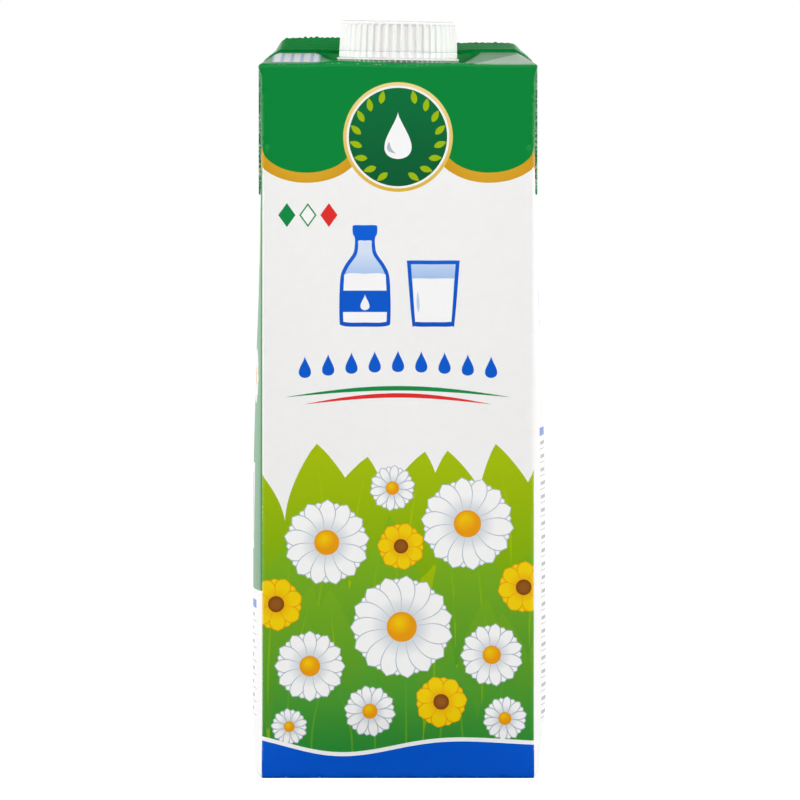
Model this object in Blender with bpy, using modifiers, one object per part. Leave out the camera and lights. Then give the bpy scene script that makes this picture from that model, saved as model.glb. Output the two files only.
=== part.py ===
"""One-litre milk carton: a brick pack of laminated board with a ribbed screw cap.

The pack stands on its base at z = 0, front panel towards -Y, X to the right. The board is one
closed solid: the brick swells where the milk presses on it, its top rises to a seam at mid-depth,
the seam's fin is folded to the back, and the two ears are folded down the sides. The screw cap,
its tamper band and the spout that they sit on are separate mouldings.
"""

import math

import bmesh
import bpy
from mathutils import Matrix, Vector

MM = 0.001

# Driving sizes of the board, in metres.
WIDTH = 73.0 * MM
DEPTH = 70.0 * MM
HEIGHT = 190.5 * MM
HALF_W = WIDTH / 2
HALF_D = DEPTH / 2
BOARD_PLY = 0.45 * MM

# How far the filled panels swell past the flat brick.
RIGHT_SWELL = 3.35 * MM
LEFT_SWELL = 2.65 * MM
FRONT_SWELL = 1.9 * MM
BACK_SWELL = 1.9 * MM
SWELL_TOP = 187.0 * MM
SWELL_FULL = 58.0 * MM
SWELL_ROUNDNESS = 2.4
RIGHT_BASE_SHARE = 0.45
LEFT_BASE_SHARE = 0.80
BASE_RISE = 20.0 * MM
EAR_PRESS = 0.6 * MM
EAR_PRESS_HEIGHT = 172.0 * MM
EAR_PRESS_REACH = 18.0 * MM

# The top: two slopes up to the seam, corners pinched out, edges drawn in at mid-depth.
GABLE_RISE = 3.2 * MM
GABLE_START = 168.0 * MM
CORNER_PINCH = 0.7 * MM
EAR_PROUD = 0.3 * MM
PINCH_HEIGHT = 4.5 * MM
LIP_TOP = 1.0 * MM
LIFT_TOP = 4.0 * MM
TOP_ZONE = 7.0 * MM
BASE_ZONE = 4.0 * MM
UPRIGHT_RADIUS = 1.3 * MM
CREASE_RADIUS = 0.6 * MM
SHOULDER_DRAW = 5.0 * MM
BASE_ROLL = 1.3 * MM
SHOULDER_SQUARENESS = 1.35

# The spout's place on the front slope.
CAP_Y = -17.5 * MM
CAP_ROLL = math.radians(1.0)
SEAT_HEIGHT = 190.85 * MM
SEAT_HALF = 16.8 * MM
SEAT_BLEND = 5.2 * MM
SEAT_BACK = -0.8 * MM
SEAT_MARGIN = 1.0 * MM
SEAT_FRONT = SEAT_MARGIN - HALF_D
RIDGE_DIP = 0.3
RIDGE_DIP_REACH = 24.0 * MM
TOUCH_GAP = 0.3 * MM

# Folded ears, seams and base.
EAR_LENGTH = 35.0 * MM
EAR_DEEP = 1.2 * MM
EAR_TOP_DROP = 1.6 * MM
EAR_INSET = 1.9 * MM
EAR_TIP_HALF = 1.0 * MM
FIN_WIDTH = 7.8 * MM
FIN_PLY = 0.7 * MM
FIN_ROOT = 0.6 * MM
FIN_HEEL = 0.3 * MM
FIN_LEAN_LEFT = math.radians(28.0)
FIN_LEAN_RIGHT = math.radians(15.0)
FIN_LEAN_SIDE = math.radians(1.0)
FIN_LEAN_FALL = 0.25
FIN_HALF_TOP = 33.4 * MM
FIN_FLAT_LEFT = 34.2 * MM
FIN_FLAT_RIGHT = 35.4 * MM
FIN_STANDING = 29.4 * MM
FIN_TOP_STEPS = 8
FIN_BEND_STEPS = 5
FIN_SIDE_STEPS = 3
FIN_BEND_FALL = 1.25
FIN_BEND_BOW = 0.5 * MM
FIN_PAST_EAR = 0.6 * MM
SEAM_FROM = 20.0 * MM
SEAM_WIDTH = 7.5 * MM
SEAM_BEVEL = 0.25 * MM
BASE_RIM = 2.6 * MM
BASE_RECESS = 0.9 * MM
APEX_GAP = 1.5 * MM

# Screw cap, tamper band and spout.
RIDGES = 48
SIDES_PER_RIDGE = 4
CAP_HEIGHT = 7.9 * MM
CAP_RADIUS_TOP = 15.5 * MM
CAP_RADIUS_LOW = 15.82 * MM
CAP_EDGE = 0.65 * MM
# The cap's edge, in units of CAP_EDGE: depth under the top, drop in radius, share of the ridge.
CAP_EDGE_LEVELS = (
    (1.9, 0.0, 1.0),
    (1.0, 0.08, 0.35),
    (0.3, 0.35, 0.0),
    (0.0, 1.0, 0.0),
)
RIDGE_DEPTH = 0.42 * MM
BAND_HEIGHT = 1.4 * MM
BAND_RADIUS = 15.9 * MM
BAND_BORE = 13.7 * MM
BORE_CUT_DEPTH = 3 * BAND_HEIGHT
FLANGE_RADIUS = 16.4 * MM
FLANGE_PLY = 0.8 * MM
FLANGE_BEVEL = 0.3 * MM
NECK_RADIUS = 13.3 * MM
TURNED_SIDES = 96

# Where the flat brick is cut before it is pressed out.
SPACING = 10.5 * MM
SPACING_UP = 13.65 * MM
EDGE_LINES = (0.35 * MM, 1.0 * MM, 2.4 * MM, 4.6 * MM)
FOOT_LINE = 10.0 * MM
HEAD_LINE = 12.0 * MM
LINE_MARGIN = 2.0 * MM
CLEARANCE = 0.05 * MM

# Finishes.
BOARD_COLOUR = (0.86, 0.87, 0.84)
BOARD_ROUGHNESS = 0.4
POLYETHYLENE_COLOUR = (0.87, 0.87, 0.86)
POLYETHYLENE_ROUGHNESS = 0.38


def clear_scene():
    """Remove every object that the file opened with."""
    for old in list(bpy.data.objects):
        bpy.data.objects.remove(old, do_unlink=True)


def new_collection(name):
    """Make a collection in the scene and return it."""
    collection = bpy.data.collections.new(name)
    bpy.context.scene.collection.children.link(collection)
    return collection


def plain_material(name, colour, roughness):
    """Make a Principled material of one colour."""
    material = bpy.data.materials.new(name)
    material.use_nodes = True
    shader = material.node_tree.nodes["Principled BSDF"]
    shader.inputs["Base Color"].default_value = (*colour, 1.0)
    shader.inputs["Roughness"].default_value = roughness
    shader.inputs["Metallic"].default_value = 0.0
    return material


def place(name, bm, collection, material=None):
    """Turn a bmesh into a named object in a collection."""
    bmesh.ops.recalc_face_normals(bm, faces=bm.faces[:])
    mesh = bpy.data.meshes.new(name)
    bm.to_mesh(mesh)
    bm.free()
    if material is not None:
        mesh.materials.append(material)
    thing = bpy.data.objects.new(name, mesh)
    collection.objects.link(thing)
    return thing


def smoothstep(low, high, value):
    """Rise smoothly from 0 at low to 1 at high; high may be below low."""
    t = min(max((value - low) / (high - low), 0.0), 1.0)
    return t * t * (3.0 - 2.0 * t)


def swell_height(z, base_share):
    """Share of the full swell at a height: none under the top, all of it near the base."""
    rise = smoothstep(SWELL_TOP, SWELL_FULL, z)
    foot = base_share + (1.0 - base_share) * smoothstep(0.0, BASE_RISE, z)
    return rise * foot


def swell_across(offset, half):
    """Share of the swell across a panel: none at its creases, all of it in the middle."""
    return 1.0 - min(abs(offset) / half, 1.0) ** SWELL_ROUNDNESS


def edge_radius(y, z):
    """Radius of the nearest fold: small at the corners, drawn in at mid-depth of top and base."""
    inward = 1.0 - min(abs(y) / HALF_D, 1.0)
    if z > HEIGHT - TOP_ZONE:
        return CREASE_RADIUS + SHOULDER_DRAW * inward
    if z < BASE_ZONE:
        return CREASE_RADIUS + BASE_ROLL * inward
    near_top = smoothstep(HEIGHT - TOP_ZONE - SPACING, HEIGHT - TOP_ZONE, z)
    near_base = smoothstep(BASE_ZONE + SPACING, BASE_ZONE, z)
    return UPRIGHT_RADIUS + (CREASE_RADIUS - UPRIGHT_RADIUS) * max(near_top, near_base)


def rounded(point):
    """Move a point of the flat brick onto its folded edges."""
    radius = edge_radius(point.y, point.z)
    squareness = SHOULDER_SQUARENESS if point.z > HEIGHT - TOP_ZONE else 2.0
    inner = Vector((
        min(max(point.x, radius - HALF_W), HALF_W - radius),
        min(max(point.y, radius - HALF_D), HALF_D - radius),
        min(max(point.z, radius), HEIGHT - radius),
    ))
    out = point - inner
    reach = sum(abs(part) ** squareness for part in out) ** (1.0 / squareness)
    return inner + out * (radius / reach) if reach > 0.0 else point


def gable(x, y):
    """Height of the top above the front fold: up to the seam, and flat under the spout."""
    dip = 1.0 - RIDGE_DIP * smoothstep(RIDGE_DIP_REACH, 0.0, abs(x))
    slope = GABLE_RISE * dip * (1.0 - min(abs(y) / HALF_D, 1.0))
    seat = SEAT_HEIGHT - HEIGHT - math.tan(CAP_ROLL) * x
    on_seat = smoothstep(SEAT_HALF + SEAT_BLEND, SEAT_HALF, abs(x))
    on_seat *= smoothstep(0.0, SEAT_BACK, y) * smoothstep(-HALF_D, SEAT_FRONT, y)
    return slope + (seat - slope) * on_seat


def pressed(flat):
    """Where a point of the flat brick goes once the pack is folded and filled."""
    point = rounded(flat)
    x, y, z = point
    right = x > 0.0
    across = swell_across(y, HALF_D)
    share = RIGHT_BASE_SHARE if right else LEFT_BASE_SHARE
    side = (RIGHT_SWELL if right else LEFT_SWELL) * swell_height(z, share) * across
    press_fall = min(abs(z - EAR_PRESS_HEIGHT) / EAR_PRESS_REACH, 1.0)
    side -= EAR_PRESS * across * (1.0 - press_fall ** 2)
    corner = min(abs(y) / HALF_D, 1.0)
    lip = EAR_PROUD + (CORNER_PINCH - EAR_PROUD) * corner
    side += lip * smoothstep(HEIGHT - PINCH_HEIGHT, HEIGHT - LIP_TOP, z)
    face = FRONT_SWELL if y < 0.0 else BACK_SWELL
    face *= swell_height(z, 0.0) * swell_across(x, HALF_W)
    from_seam = abs(flat.x - SEAM_FROM - SEAM_WIDTH / 2)
    if flat.y > HALF_D - CLEARANCE and from_seam < SEAM_WIDTH / 2 - SEAM_BEVEL / 2:
        face += BOARD_PLY
    lift = gable(x, y) * smoothstep(GABLE_START, HEIGHT - LIFT_TOP, z)
    return Vector((x + side * x / HALF_W, y + face * y / HALF_D, z + lift))


def lines_across(half):
    """Places to cut the brick along one side: close together near its folds, one in the middle."""
    near = [half - gap for gap in EDGE_LINES]
    inner = near[-1]
    count = 2 * round(inner / SPACING)
    middle = [-inner + 2 * inner * step / count for step in range(1, count)]
    return [-line for line in near] + middle + near


def lines_up():
    """Heights to cut the brick at: close together near the folds of base and top."""
    foot = [gap for gap in EDGE_LINES] + [FOOT_LINE]
    head = [HEIGHT - gap for gap in EDGE_LINES] + [HEIGHT - TOP_ZONE, HEIGHT - HEAD_LINE]
    low, high = max(foot), min(head)
    count = round((high - low) / SPACING_UP)
    middle = [low + (high - low) * step / count for step in range(1, count)]
    return sorted(foot + middle + head)


def filled_brick(collection, material):
    """The board pack without its fins and ears: a brick cut into panels' strips and pressed out."""
    bm = bmesh.new()
    size = Matrix.Diagonal((WIDTH, DEPTH, HEIGHT, 1.0))
    bmesh.ops.create_cube(bm, size=1.0, matrix=Matrix.Translation((0, 0, HEIGHT / 2)) @ size)
    seam_end = SEAM_FROM + SEAM_WIDTH
    seam_lines = [SEAM_FROM, SEAM_FROM + SEAM_BEVEL, seam_end - SEAM_BEVEL, seam_end]
    seat_lines = [-SEAT_HALF - SEAT_BLEND, -SEAT_HALF, SEAT_HALF]
    own_lines = seam_lines + seat_lines
    free = [x for x in lines_across(HALF_W) if min(abs(x - own) for own in own_lines) > LINE_MARGIN]
    cuts = [((x, 0, 0), (1, 0, 0)) for x in free + own_lines]
    cuts += [((0, y, 0), (0, 1, 0)) for y in lines_across(HALF_D) + [SEAT_BACK]]
    cuts += [((0, 0, z), (0, 0, 1)) for z in lines_up()]
    for on_plane, normal in cuts:
        whole = bm.verts[:] + bm.edges[:] + bm.faces[:]
        bmesh.ops.bisect_plane(bm, geom=whole, dist=1e-7, plane_co=on_plane, plane_no=normal)
    for vert in bm.verts:
        vert.co = pressed(vert.co.copy())
    bmesh.ops.triangulate(bm, faces=bm.faces[:])
    return place("carton", bm, collection, material)


def top_point(x, y):
    """The pressed place of a point of the flat top."""
    return pressed(Vector((x, y, HEIGHT)))


def prism(name, outline, thickness, turn, collection):
    """A flat outline given as (x, y) corners, extruded both ways, turned and placed."""
    bm = bmesh.new()
    ring = [bm.verts.new((x, y, -thickness / 2)) for x, y in outline]
    face = bm.faces.new(ring)
    pushed = bmesh.ops.extrude_face_region(bm, geom=[face])
    raised = [item for item in pushed["geom"] if isinstance(item, bmesh.types.BMVert)]
    bmesh.ops.translate(bm, verts=raised, vec=(0, 0, thickness))
    bmesh.ops.transform(bm, matrix=turn, verts=bm.verts[:])
    return place(name, bm, collection)


def ear_plate(side, collection):
    """A folded ear: a triangle of board whose point hangs down the middle of a side panel."""
    top = HEIGHT - EAR_TOP_DROP
    tip = HEIGHT - EAR_LENGTH
    wide = HALF_D - EAR_INSET
    outline = [(-wide, top), (wide, top), (EAR_TIP_HALF, tip), (-EAR_TIP_HALF, tip)]
    outer = HALF_W + EAR_PROUD + CLEARANCE
    middle = side * (outer - EAR_DEEP / 2)
    upright = Matrix(((0, 0, 1, 0), (1, 0, 0, 0), (0, 1, 0, 0), (0, 0, 0, 1)))
    return prism("ear", outline, EAR_DEEP, Matrix.Translation((middle, 0, 0)) @ upright, collection)


def fin_lean(x):
    """How far the fin stands up off the back slope; it is pressed flat where it folds."""
    full = FIN_LEAN_RIGHT if x > 0.0 else FIN_LEAN_LEFT
    flat = FIN_FLAT_RIGHT if x > 0.0 else FIN_FLAT_LEFT
    standing = smoothstep(flat, FIN_STANDING, abs(x)) * (1.0 - FIN_LEAN_FALL * (x / FIN_HALF_TOP) ** 2)
    return FIN_LEAN_SIDE + (full - FIN_LEAN_SIDE) * standing


def fin_stations(side):
    """Stations of the fin from the middle of the top, over a shoulder, to the ear's tip.

    Each is a root point, the outward normal of the board there, and the fin's lean.
    """
    stations = []
    for step in range(1, FIN_TOP_STEPS + 1):
        x = side * FIN_HALF_TOP * (1.0 - (1.0 - step / FIN_TOP_STEPS) ** 2)
        stations.append((top_point(x, 0.0), Vector((0, 0, 1)), fin_lean(x)))
    start = stations[-1][0]
    face = HALF_W + EAR_PROUD + CLEARANCE
    end = Vector((side * face, 0.0, start.z - (face - FIN_HALF_TOP) * FIN_BEND_FALL))
    for step in range(1, FIN_BEND_STEPS + 1):
        t = step / FIN_BEND_STEPS
        angle = t * math.pi / 2
        normal = Vector((side * math.sin(angle), 0, math.cos(angle)))
        root = start.lerp(end, t) + normal * FIN_BEND_BOW * math.sin(math.pi * t)
        stations.append((root, normal, fin_lean(root.x)))
    tip = HEIGHT - EAR_LENGTH - FIN_PAST_EAR
    for step in range(1, FIN_SIDE_STEPS + 1):
        z = end.z + (tip - end.z) * step / FIN_SIDE_STEPS
        stations.append((Vector((side * face, 0, z)), Vector((side, 0, 0)), FIN_LEAN_SIDE))
    return stations


def fin_strip(collection):
    """The seam's fin, lofted along the top and down both ears, leaning to the back."""
    lean = (FIN_LEAN_LEFT + FIN_LEAN_RIGHT) / 2
    middle = [(top_point(0.0, 0.0), Vector((0, 0, 1)), lean)]
    route = list(reversed(fin_stations(-1))) + middle + fin_stations(1)
    bm = bmesh.new()
    rings = []
    for root, normal, tilt in route:
        along = Vector((0, math.cos(tilt), 0)) + normal * math.sin(tilt)
        through = Vector((0, -math.sin(tilt), 0)) + normal * math.cos(tilt)
        on_side = abs(normal.x) > 0.5
        low = root - along * FIN_HEEL - through * FIN_ROOT
        high = root - along * FIN_HEEL + through * FIN_PLY
        tip_low = root + along * FIN_WIDTH - through * (FIN_ROOT if on_side else 0.0)
        tip_high = root + along * FIN_WIDTH + through * FIN_PLY
        rings.append([bm.verts.new(corner) for corner in (low, high, tip_high, tip_low)])
    for ring, following in zip(rings, rings[1:]):
        for index in range(4):
            after = (index + 1) % 4
            bm.faces.new((ring[index], ring[after], following[after], following[index]))
    bm.faces.new(rings[0])
    bm.faces.new(rings[-1])
    bmesh.ops.triangulate(bm, faces=bm.faces[:])
    return place("fin", bm, collection)


def base_pocket(collection):
    """The shallow hollow under the base, between the rim and the two ears folded under."""
    reach = HALF_D - BASE_RIM
    wide = reach + APEX_GAP
    outline = [(-wide, -reach), (wide, -reach), (APEX_GAP, 0), (wide, reach), (-wide, reach), (-APEX_GAP, 0)]
    return prism("base_pocket", outline, 2 * BASE_RECESS, Matrix.Identity(4), collection)


def combine(target, others, operation):
    """Join others to target, or cut them from it, and apply it."""
    for other in others:
        other.hide_render = True
        other.display_type = "WIRE"
        modifier = target.modifiers.new(other.name, "BOOLEAN")
        modifier.operation = operation
        modifier.object = other
        modifier.solver = "EXACT"
    depsgraph = bpy.context.evaluated_depsgraph_get()
    joined = bpy.data.meshes.new_from_object(target.evaluated_get(depsgraph))
    target.modifiers.clear()
    target.data = joined
    for other in others:
        bpy.data.objects.remove(other, do_unlink=True)


def carton(collection, cutters, material):
    """The whole board pack as one solid."""
    pack = filled_brick(collection, material)
    folds = [ear_plate(1, cutters), ear_plate(-1, cutters), fin_strip(cutters)]
    combine(pack, folds, "UNION")
    combine(pack, [base_pocket(cutters)], "DIFFERENCE")
    return pack


def seat_matrix(height):
    """Place of a moulding whose foot is at a height above the board under the spout."""
    seat = Matrix.Translation((0, CAP_Y, SEAT_HEIGHT))
    return seat @ Matrix.Rotation(CAP_ROLL, 4, "Y") @ Matrix.Translation((0, 0, height))


def ridge_wave(angle):
    """1 on a ridge and 0 between two, with steep flanks."""
    phase = (angle * RIDGES / (2 * math.pi)) % 1.0
    return 1.0 if phase < 0.5 - 1e-6 else 0.0


def ribbed_drum(name, radius_low, radius_top, height, levels, collection, material):
    """A drum with ridges round it; levels are (share of height, radius drop, ridge share)."""
    sides = RIDGES * SIDES_PER_RIDGE
    bm = bmesh.new()
    rings = []
    for share, drop, ridge in levels:
        radius = radius_low + (radius_top - radius_low) * share - drop
        step = 2 * math.pi / sides
        circle = bmesh.ops.create_circle(bm, segments=sides, radius=radius)["verts"]
        for index, vert in enumerate(circle):
            angle = index * step
            r = radius - RIDGE_DEPTH * ridge * (1.0 - ridge_wave(angle + step / 2))
            vert.co = Vector((r * math.cos(angle), r * math.sin(angle), height * share))
        rings.append(circle)
    for ring, following in zip(rings, rings[1:]):
        for index in range(sides):
            after = (index + 1) % sides
            bm.faces.new((ring[index], ring[after], following[after], following[index]))
    bm.faces.new(rings[0])
    bm.faces.new(rings[-1])
    return place(name, bm, collection, material)


def turned(name, profile, collection, material):
    """A closed (radius, height) profile turned about the axis; it runs top to bottom outside."""
    mesh = bpy.data.meshes.new(name)
    points = [(radius, 0.0, height) for radius, height in profile]
    mesh.from_pydata(points, [(i, i + 1) for i in range(len(points) - 1)], [])
    mesh.materials.append(material)
    thing = bpy.data.objects.new(name, mesh)
    collection.objects.link(thing)
    screw = thing.modifiers.new("turn", "SCREW")
    screw.steps = TURNED_SIDES
    screw.render_steps = TURNED_SIDES
    screw.use_merge_vertices = True
    screw.merge_threshold = 0.00001
    return thing


def spout(collection, white):
    """The spout's flange and neck, the tamper band round the neck, and the screw cap over both."""
    band_foot = TOUCH_GAP + FLANGE_PLY + TOUCH_GAP
    cap_foot = band_foot + BAND_HEIGHT + TOUCH_GAP
    neck_top = cap_foot - TOUCH_GAP
    flange = turned("spout_flange", [
        (0.0, neck_top),
        (NECK_RADIUS, neck_top),
        (NECK_RADIUS, TOUCH_GAP + FLANGE_PLY),
        (FLANGE_RADIUS - FLANGE_BEVEL, TOUCH_GAP + FLANGE_PLY),
        (FLANGE_RADIUS, TOUCH_GAP + FLANGE_PLY - FLANGE_BEVEL),
        (FLANGE_RADIUS, TOUCH_GAP),
        (0.0, TOUCH_GAP),
    ], collection, white)
    flange.matrix_world = seat_matrix(0.0)

    levels = [(0.0, 0.0, 1.0)]
    for depth, drop, ridge in CAP_EDGE_LEVELS:
        levels.append((1.0 - depth * CAP_EDGE / CAP_HEIGHT, drop * CAP_EDGE, ridge))
    cap = ribbed_drum("screw_cap", CAP_RADIUS_LOW, CAP_RADIUS_TOP, CAP_HEIGHT, levels, collection, white)
    cap.matrix_world = seat_matrix(cap_foot)

    band = ribbed_drum("tamper_band", BAND_RADIUS, CAP_RADIUS_LOW, BAND_HEIGHT, [
        (0.0, 0.0, 1.0),
        (1.0, 0.0, 1.0),
    ], collection, white)
    band.matrix_world = seat_matrix(band_foot)
    return band, band_foot


def band_bore(cutters, band_foot):
    """The drum that opens the tamper band for the neck."""
    bm = bmesh.new()
    bmesh.ops.create_cone(
        bm,
        cap_ends=True,
        segments=TURNED_SIDES,
        radius1=BAND_BORE,
        radius2=BAND_BORE,
        depth=BORE_CUT_DEPTH,
    )
    bore = place("band_bore", bm, cutters)
    bore.matrix_world = seat_matrix(band_foot + BAND_HEIGHT / 2)
    bore.hide_render = True
    bore.display_type = "WIRE"
    return bore


def main():
    """Build the pack."""
    clear_scene()
    parts = new_collection("milk_carton")
    cutters = new_collection("cutters")
    board = plain_material("coated_board", BOARD_COLOUR, BOARD_ROUGHNESS)
    white = plain_material("white_polyethylene", POLYETHYLENE_COLOUR, POLYETHYLENE_ROUGHNESS)
    carton(parts, cutters, board)
    band, band_foot = spout(parts, white)
    ring = band.modifiers.new("bore", "BOOLEAN")
    ring.operation = "DIFFERENCE"
    ring.object = band_bore(cutters, band_foot)


main()
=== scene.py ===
"""Looks of a one-litre milk carton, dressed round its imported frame.

The board pack is drawn flat, as a printer's sheet of patches of ink, and then pressed into the
filled and folded pack: walls, top and base in one skin, with the seal's fin as a strip of board
laid over it. The closure is moulded polyethylene: a screw cap, its tamper band and the spout.
Lengths are in millimetres until a mesh is made.
"""

import logging
import math
import random
from collections.abc import Callable, Iterable, Sequence
from dataclasses import dataclass, field
from enum import Enum

import bpy
import numpy as np
from mathutils import Matrix, Vector
from mathutils.geometry import delaunay_2d_cdt

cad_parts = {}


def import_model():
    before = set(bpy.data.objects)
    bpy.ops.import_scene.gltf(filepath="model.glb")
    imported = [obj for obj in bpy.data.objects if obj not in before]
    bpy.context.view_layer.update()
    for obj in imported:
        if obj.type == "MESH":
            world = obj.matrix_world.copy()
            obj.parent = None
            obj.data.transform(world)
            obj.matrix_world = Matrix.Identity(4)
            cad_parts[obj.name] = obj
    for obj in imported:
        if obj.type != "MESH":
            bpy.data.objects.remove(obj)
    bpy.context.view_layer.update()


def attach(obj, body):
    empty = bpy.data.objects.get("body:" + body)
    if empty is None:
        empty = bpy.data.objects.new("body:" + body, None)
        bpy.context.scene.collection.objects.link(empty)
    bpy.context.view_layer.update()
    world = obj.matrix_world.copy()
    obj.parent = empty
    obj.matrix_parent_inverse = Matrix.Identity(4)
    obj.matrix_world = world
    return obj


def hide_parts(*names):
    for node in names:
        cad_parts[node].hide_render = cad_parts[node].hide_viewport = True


LOG = logging.getLogger("carton")
MM = 0.001
# Sockets of a colour Mix node, which shares its sockets' names with the node's other kinds
MIX_FIRST, MIX_SECOND, MIX_RESULT = 6, 7, 2
WHITE_LIGHT = (1.0, 1.0, 1.0, 1.0)
# How near a plane of the flat brick a point counts as on it
ON_FACE = 1e-6
TURN = 2 * math.pi
Points = np.ndarray
Tone = Callable[[Points], np.ndarray]


def linear(code: str) -> tuple[float, float, float, float]:
    """Turn an sRGB hex colour into linear red, green, blue and alpha.

    Args:
        code: The colour as "#rrggbb".

    Returns:
        The linear colour, with alpha 1.
    """
    parts = [int(code[at:at + 2], 16) / 255 for at in (1, 3, 5)]
    red, green, blue = (p / 12.92 if p <= 0.04045 else ((p + 0.055) / 1.055) ** 2.4 for p in parts)
    return (red, green, blue, 1.0)


def smoothstep(low: float, high: float, value: np.ndarray | float) -> np.ndarray:
    """Rise smoothly from 0 at low to 1 at high; high may lie below low."""
    t = np.clip((np.asarray(value, float) - low) / (high - low), 0.0, 1.0)
    return t * t * (3.0 - 2.0 * t)


def add_node(
    tree: bpy.types.NodeTree,
    kind: str,
    settings: dict[str, object] | None = None,
    inputs: dict[str | int, object] | None = None,
) -> bpy.types.Node:
    """Add a node, set it up and link its inputs.

    Args:
        tree: The node tree that it goes in.
        kind: The node's Blender type.
        settings: Its own properties by name.
        inputs: A value or another node's output for each input, by name or index.

    Returns:
        The new node.
    """
    node = tree.nodes.new(kind)
    for name, value in (settings or {}).items():
        setattr(node, name, value)
    for key, value in (inputs or {}).items():
        if isinstance(value, bpy.types.NodeSocket):
            tree.links.new(value, node.inputs[key])
        else:
            node.inputs[key].default_value = value
    return node


def new_material(name: str) -> tuple[bpy.types.Material, bpy.types.NodeTree, bpy.types.NodeSocket]:
    """Start a node material.

    Args:
        name: The material's name.

    Returns:
        The material, its empty tree and the surface input of its output node.
    """
    material = bpy.data.materials.new(name)
    material.use_nodes = True
    tree = material.node_tree
    tree.nodes.clear()
    output = tree.nodes.new("ShaderNodeOutputMaterial")
    return material, tree, output.inputs["Surface"]


def place_in_scene(name: str, data: bpy.types.ID) -> bpy.types.Object:
    """Make an object of a mesh, lamp or camera and link it to the scene.

    Args:
        name: The object's name.
        data: What it shows.

    Returns:
        The object.
    """
    thing = bpy.data.objects.new(name, data)
    bpy.context.scene.collection.objects.link(thing)
    return thing


def face_along(thing: bpy.types.Object, way: Vector) -> None:
    """Turn a lamp or camera to look along a direction."""
    thing.rotation_mode = "QUATERNION"
    thing.rotation_quaternion = way.to_track_quat("-Z", "Y")


def note_on_mesh(mesh: bpy.types.Mesh, name: str, domain: str, values: np.ndarray) -> None:
    """Write one number for each point or face corner as an attribute that a material reads."""
    attribute = mesh.attributes.new(name, "FLOAT", domain)
    attribute.data.foreach_set("value", np.asarray(values, np.float32).ravel())


def finished_piece(mesh: bpy.types.Mesh, sharp_degrees: float) -> bpy.types.Object:
    """Smooth a mesh up to its sharp edges and make the piece of the same name.

    Args:
        mesh: The mesh, named as its piece.
        sharp_degrees: The least angle of an edge that stays sharp.

    Returns:
        The piece.
    """
    mesh.shade_smooth()
    mesh.set_sharp_from_angle(angle=math.radians(sharp_degrees))
    mesh.validate()
    return place_in_scene(mesh.name, mesh)


class Ink(Enum):
    """Inks of the print, each as the sRGB colour at tone 0 and the one at tone 1."""

    WHITE = ("#f2f0ee", "#ffffff")
    DEEP_GREEN = ("#018036", "#018e3b")
    BADGE_GREEN = ("#0b5a33", "#05743c")
    GOLD = ("#cf9a10", "#efb63a")
    PALE_GOLD = ("#e2b93f", "#f6dc94")
    WORD_BLUE = ("#0254c4", "#0362dc")
    BAND_BLUE = ("#0153c8", "#045ddb")
    PALE_BLUE = ("#9fc2f0", "#dce9fb")
    RED = ("#dc1f24", "#ee3a33")
    FLAG_GREEN = ("#028339", "#12954a")
    LIME = ("#7cae0a", "#a9c205")
    MEADOW = ("#4f9a2c", "#83b518")
    LEAF = ("#1d8a38", "#5ba32b")
    SAGE = ("#8fb096", "#a3c0a8")
    PETAL = ("#b4c0cc", "#fdfdfc")
    SUN = ("#ef9d0c", "#f7d305")
    BROWN = ("#7d430b", "#a8672a")
    RULE_GREY = ("#8d9296", "#a4a8ab")
    KEY = ("#1d1f22", "#2b2d30")


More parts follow.
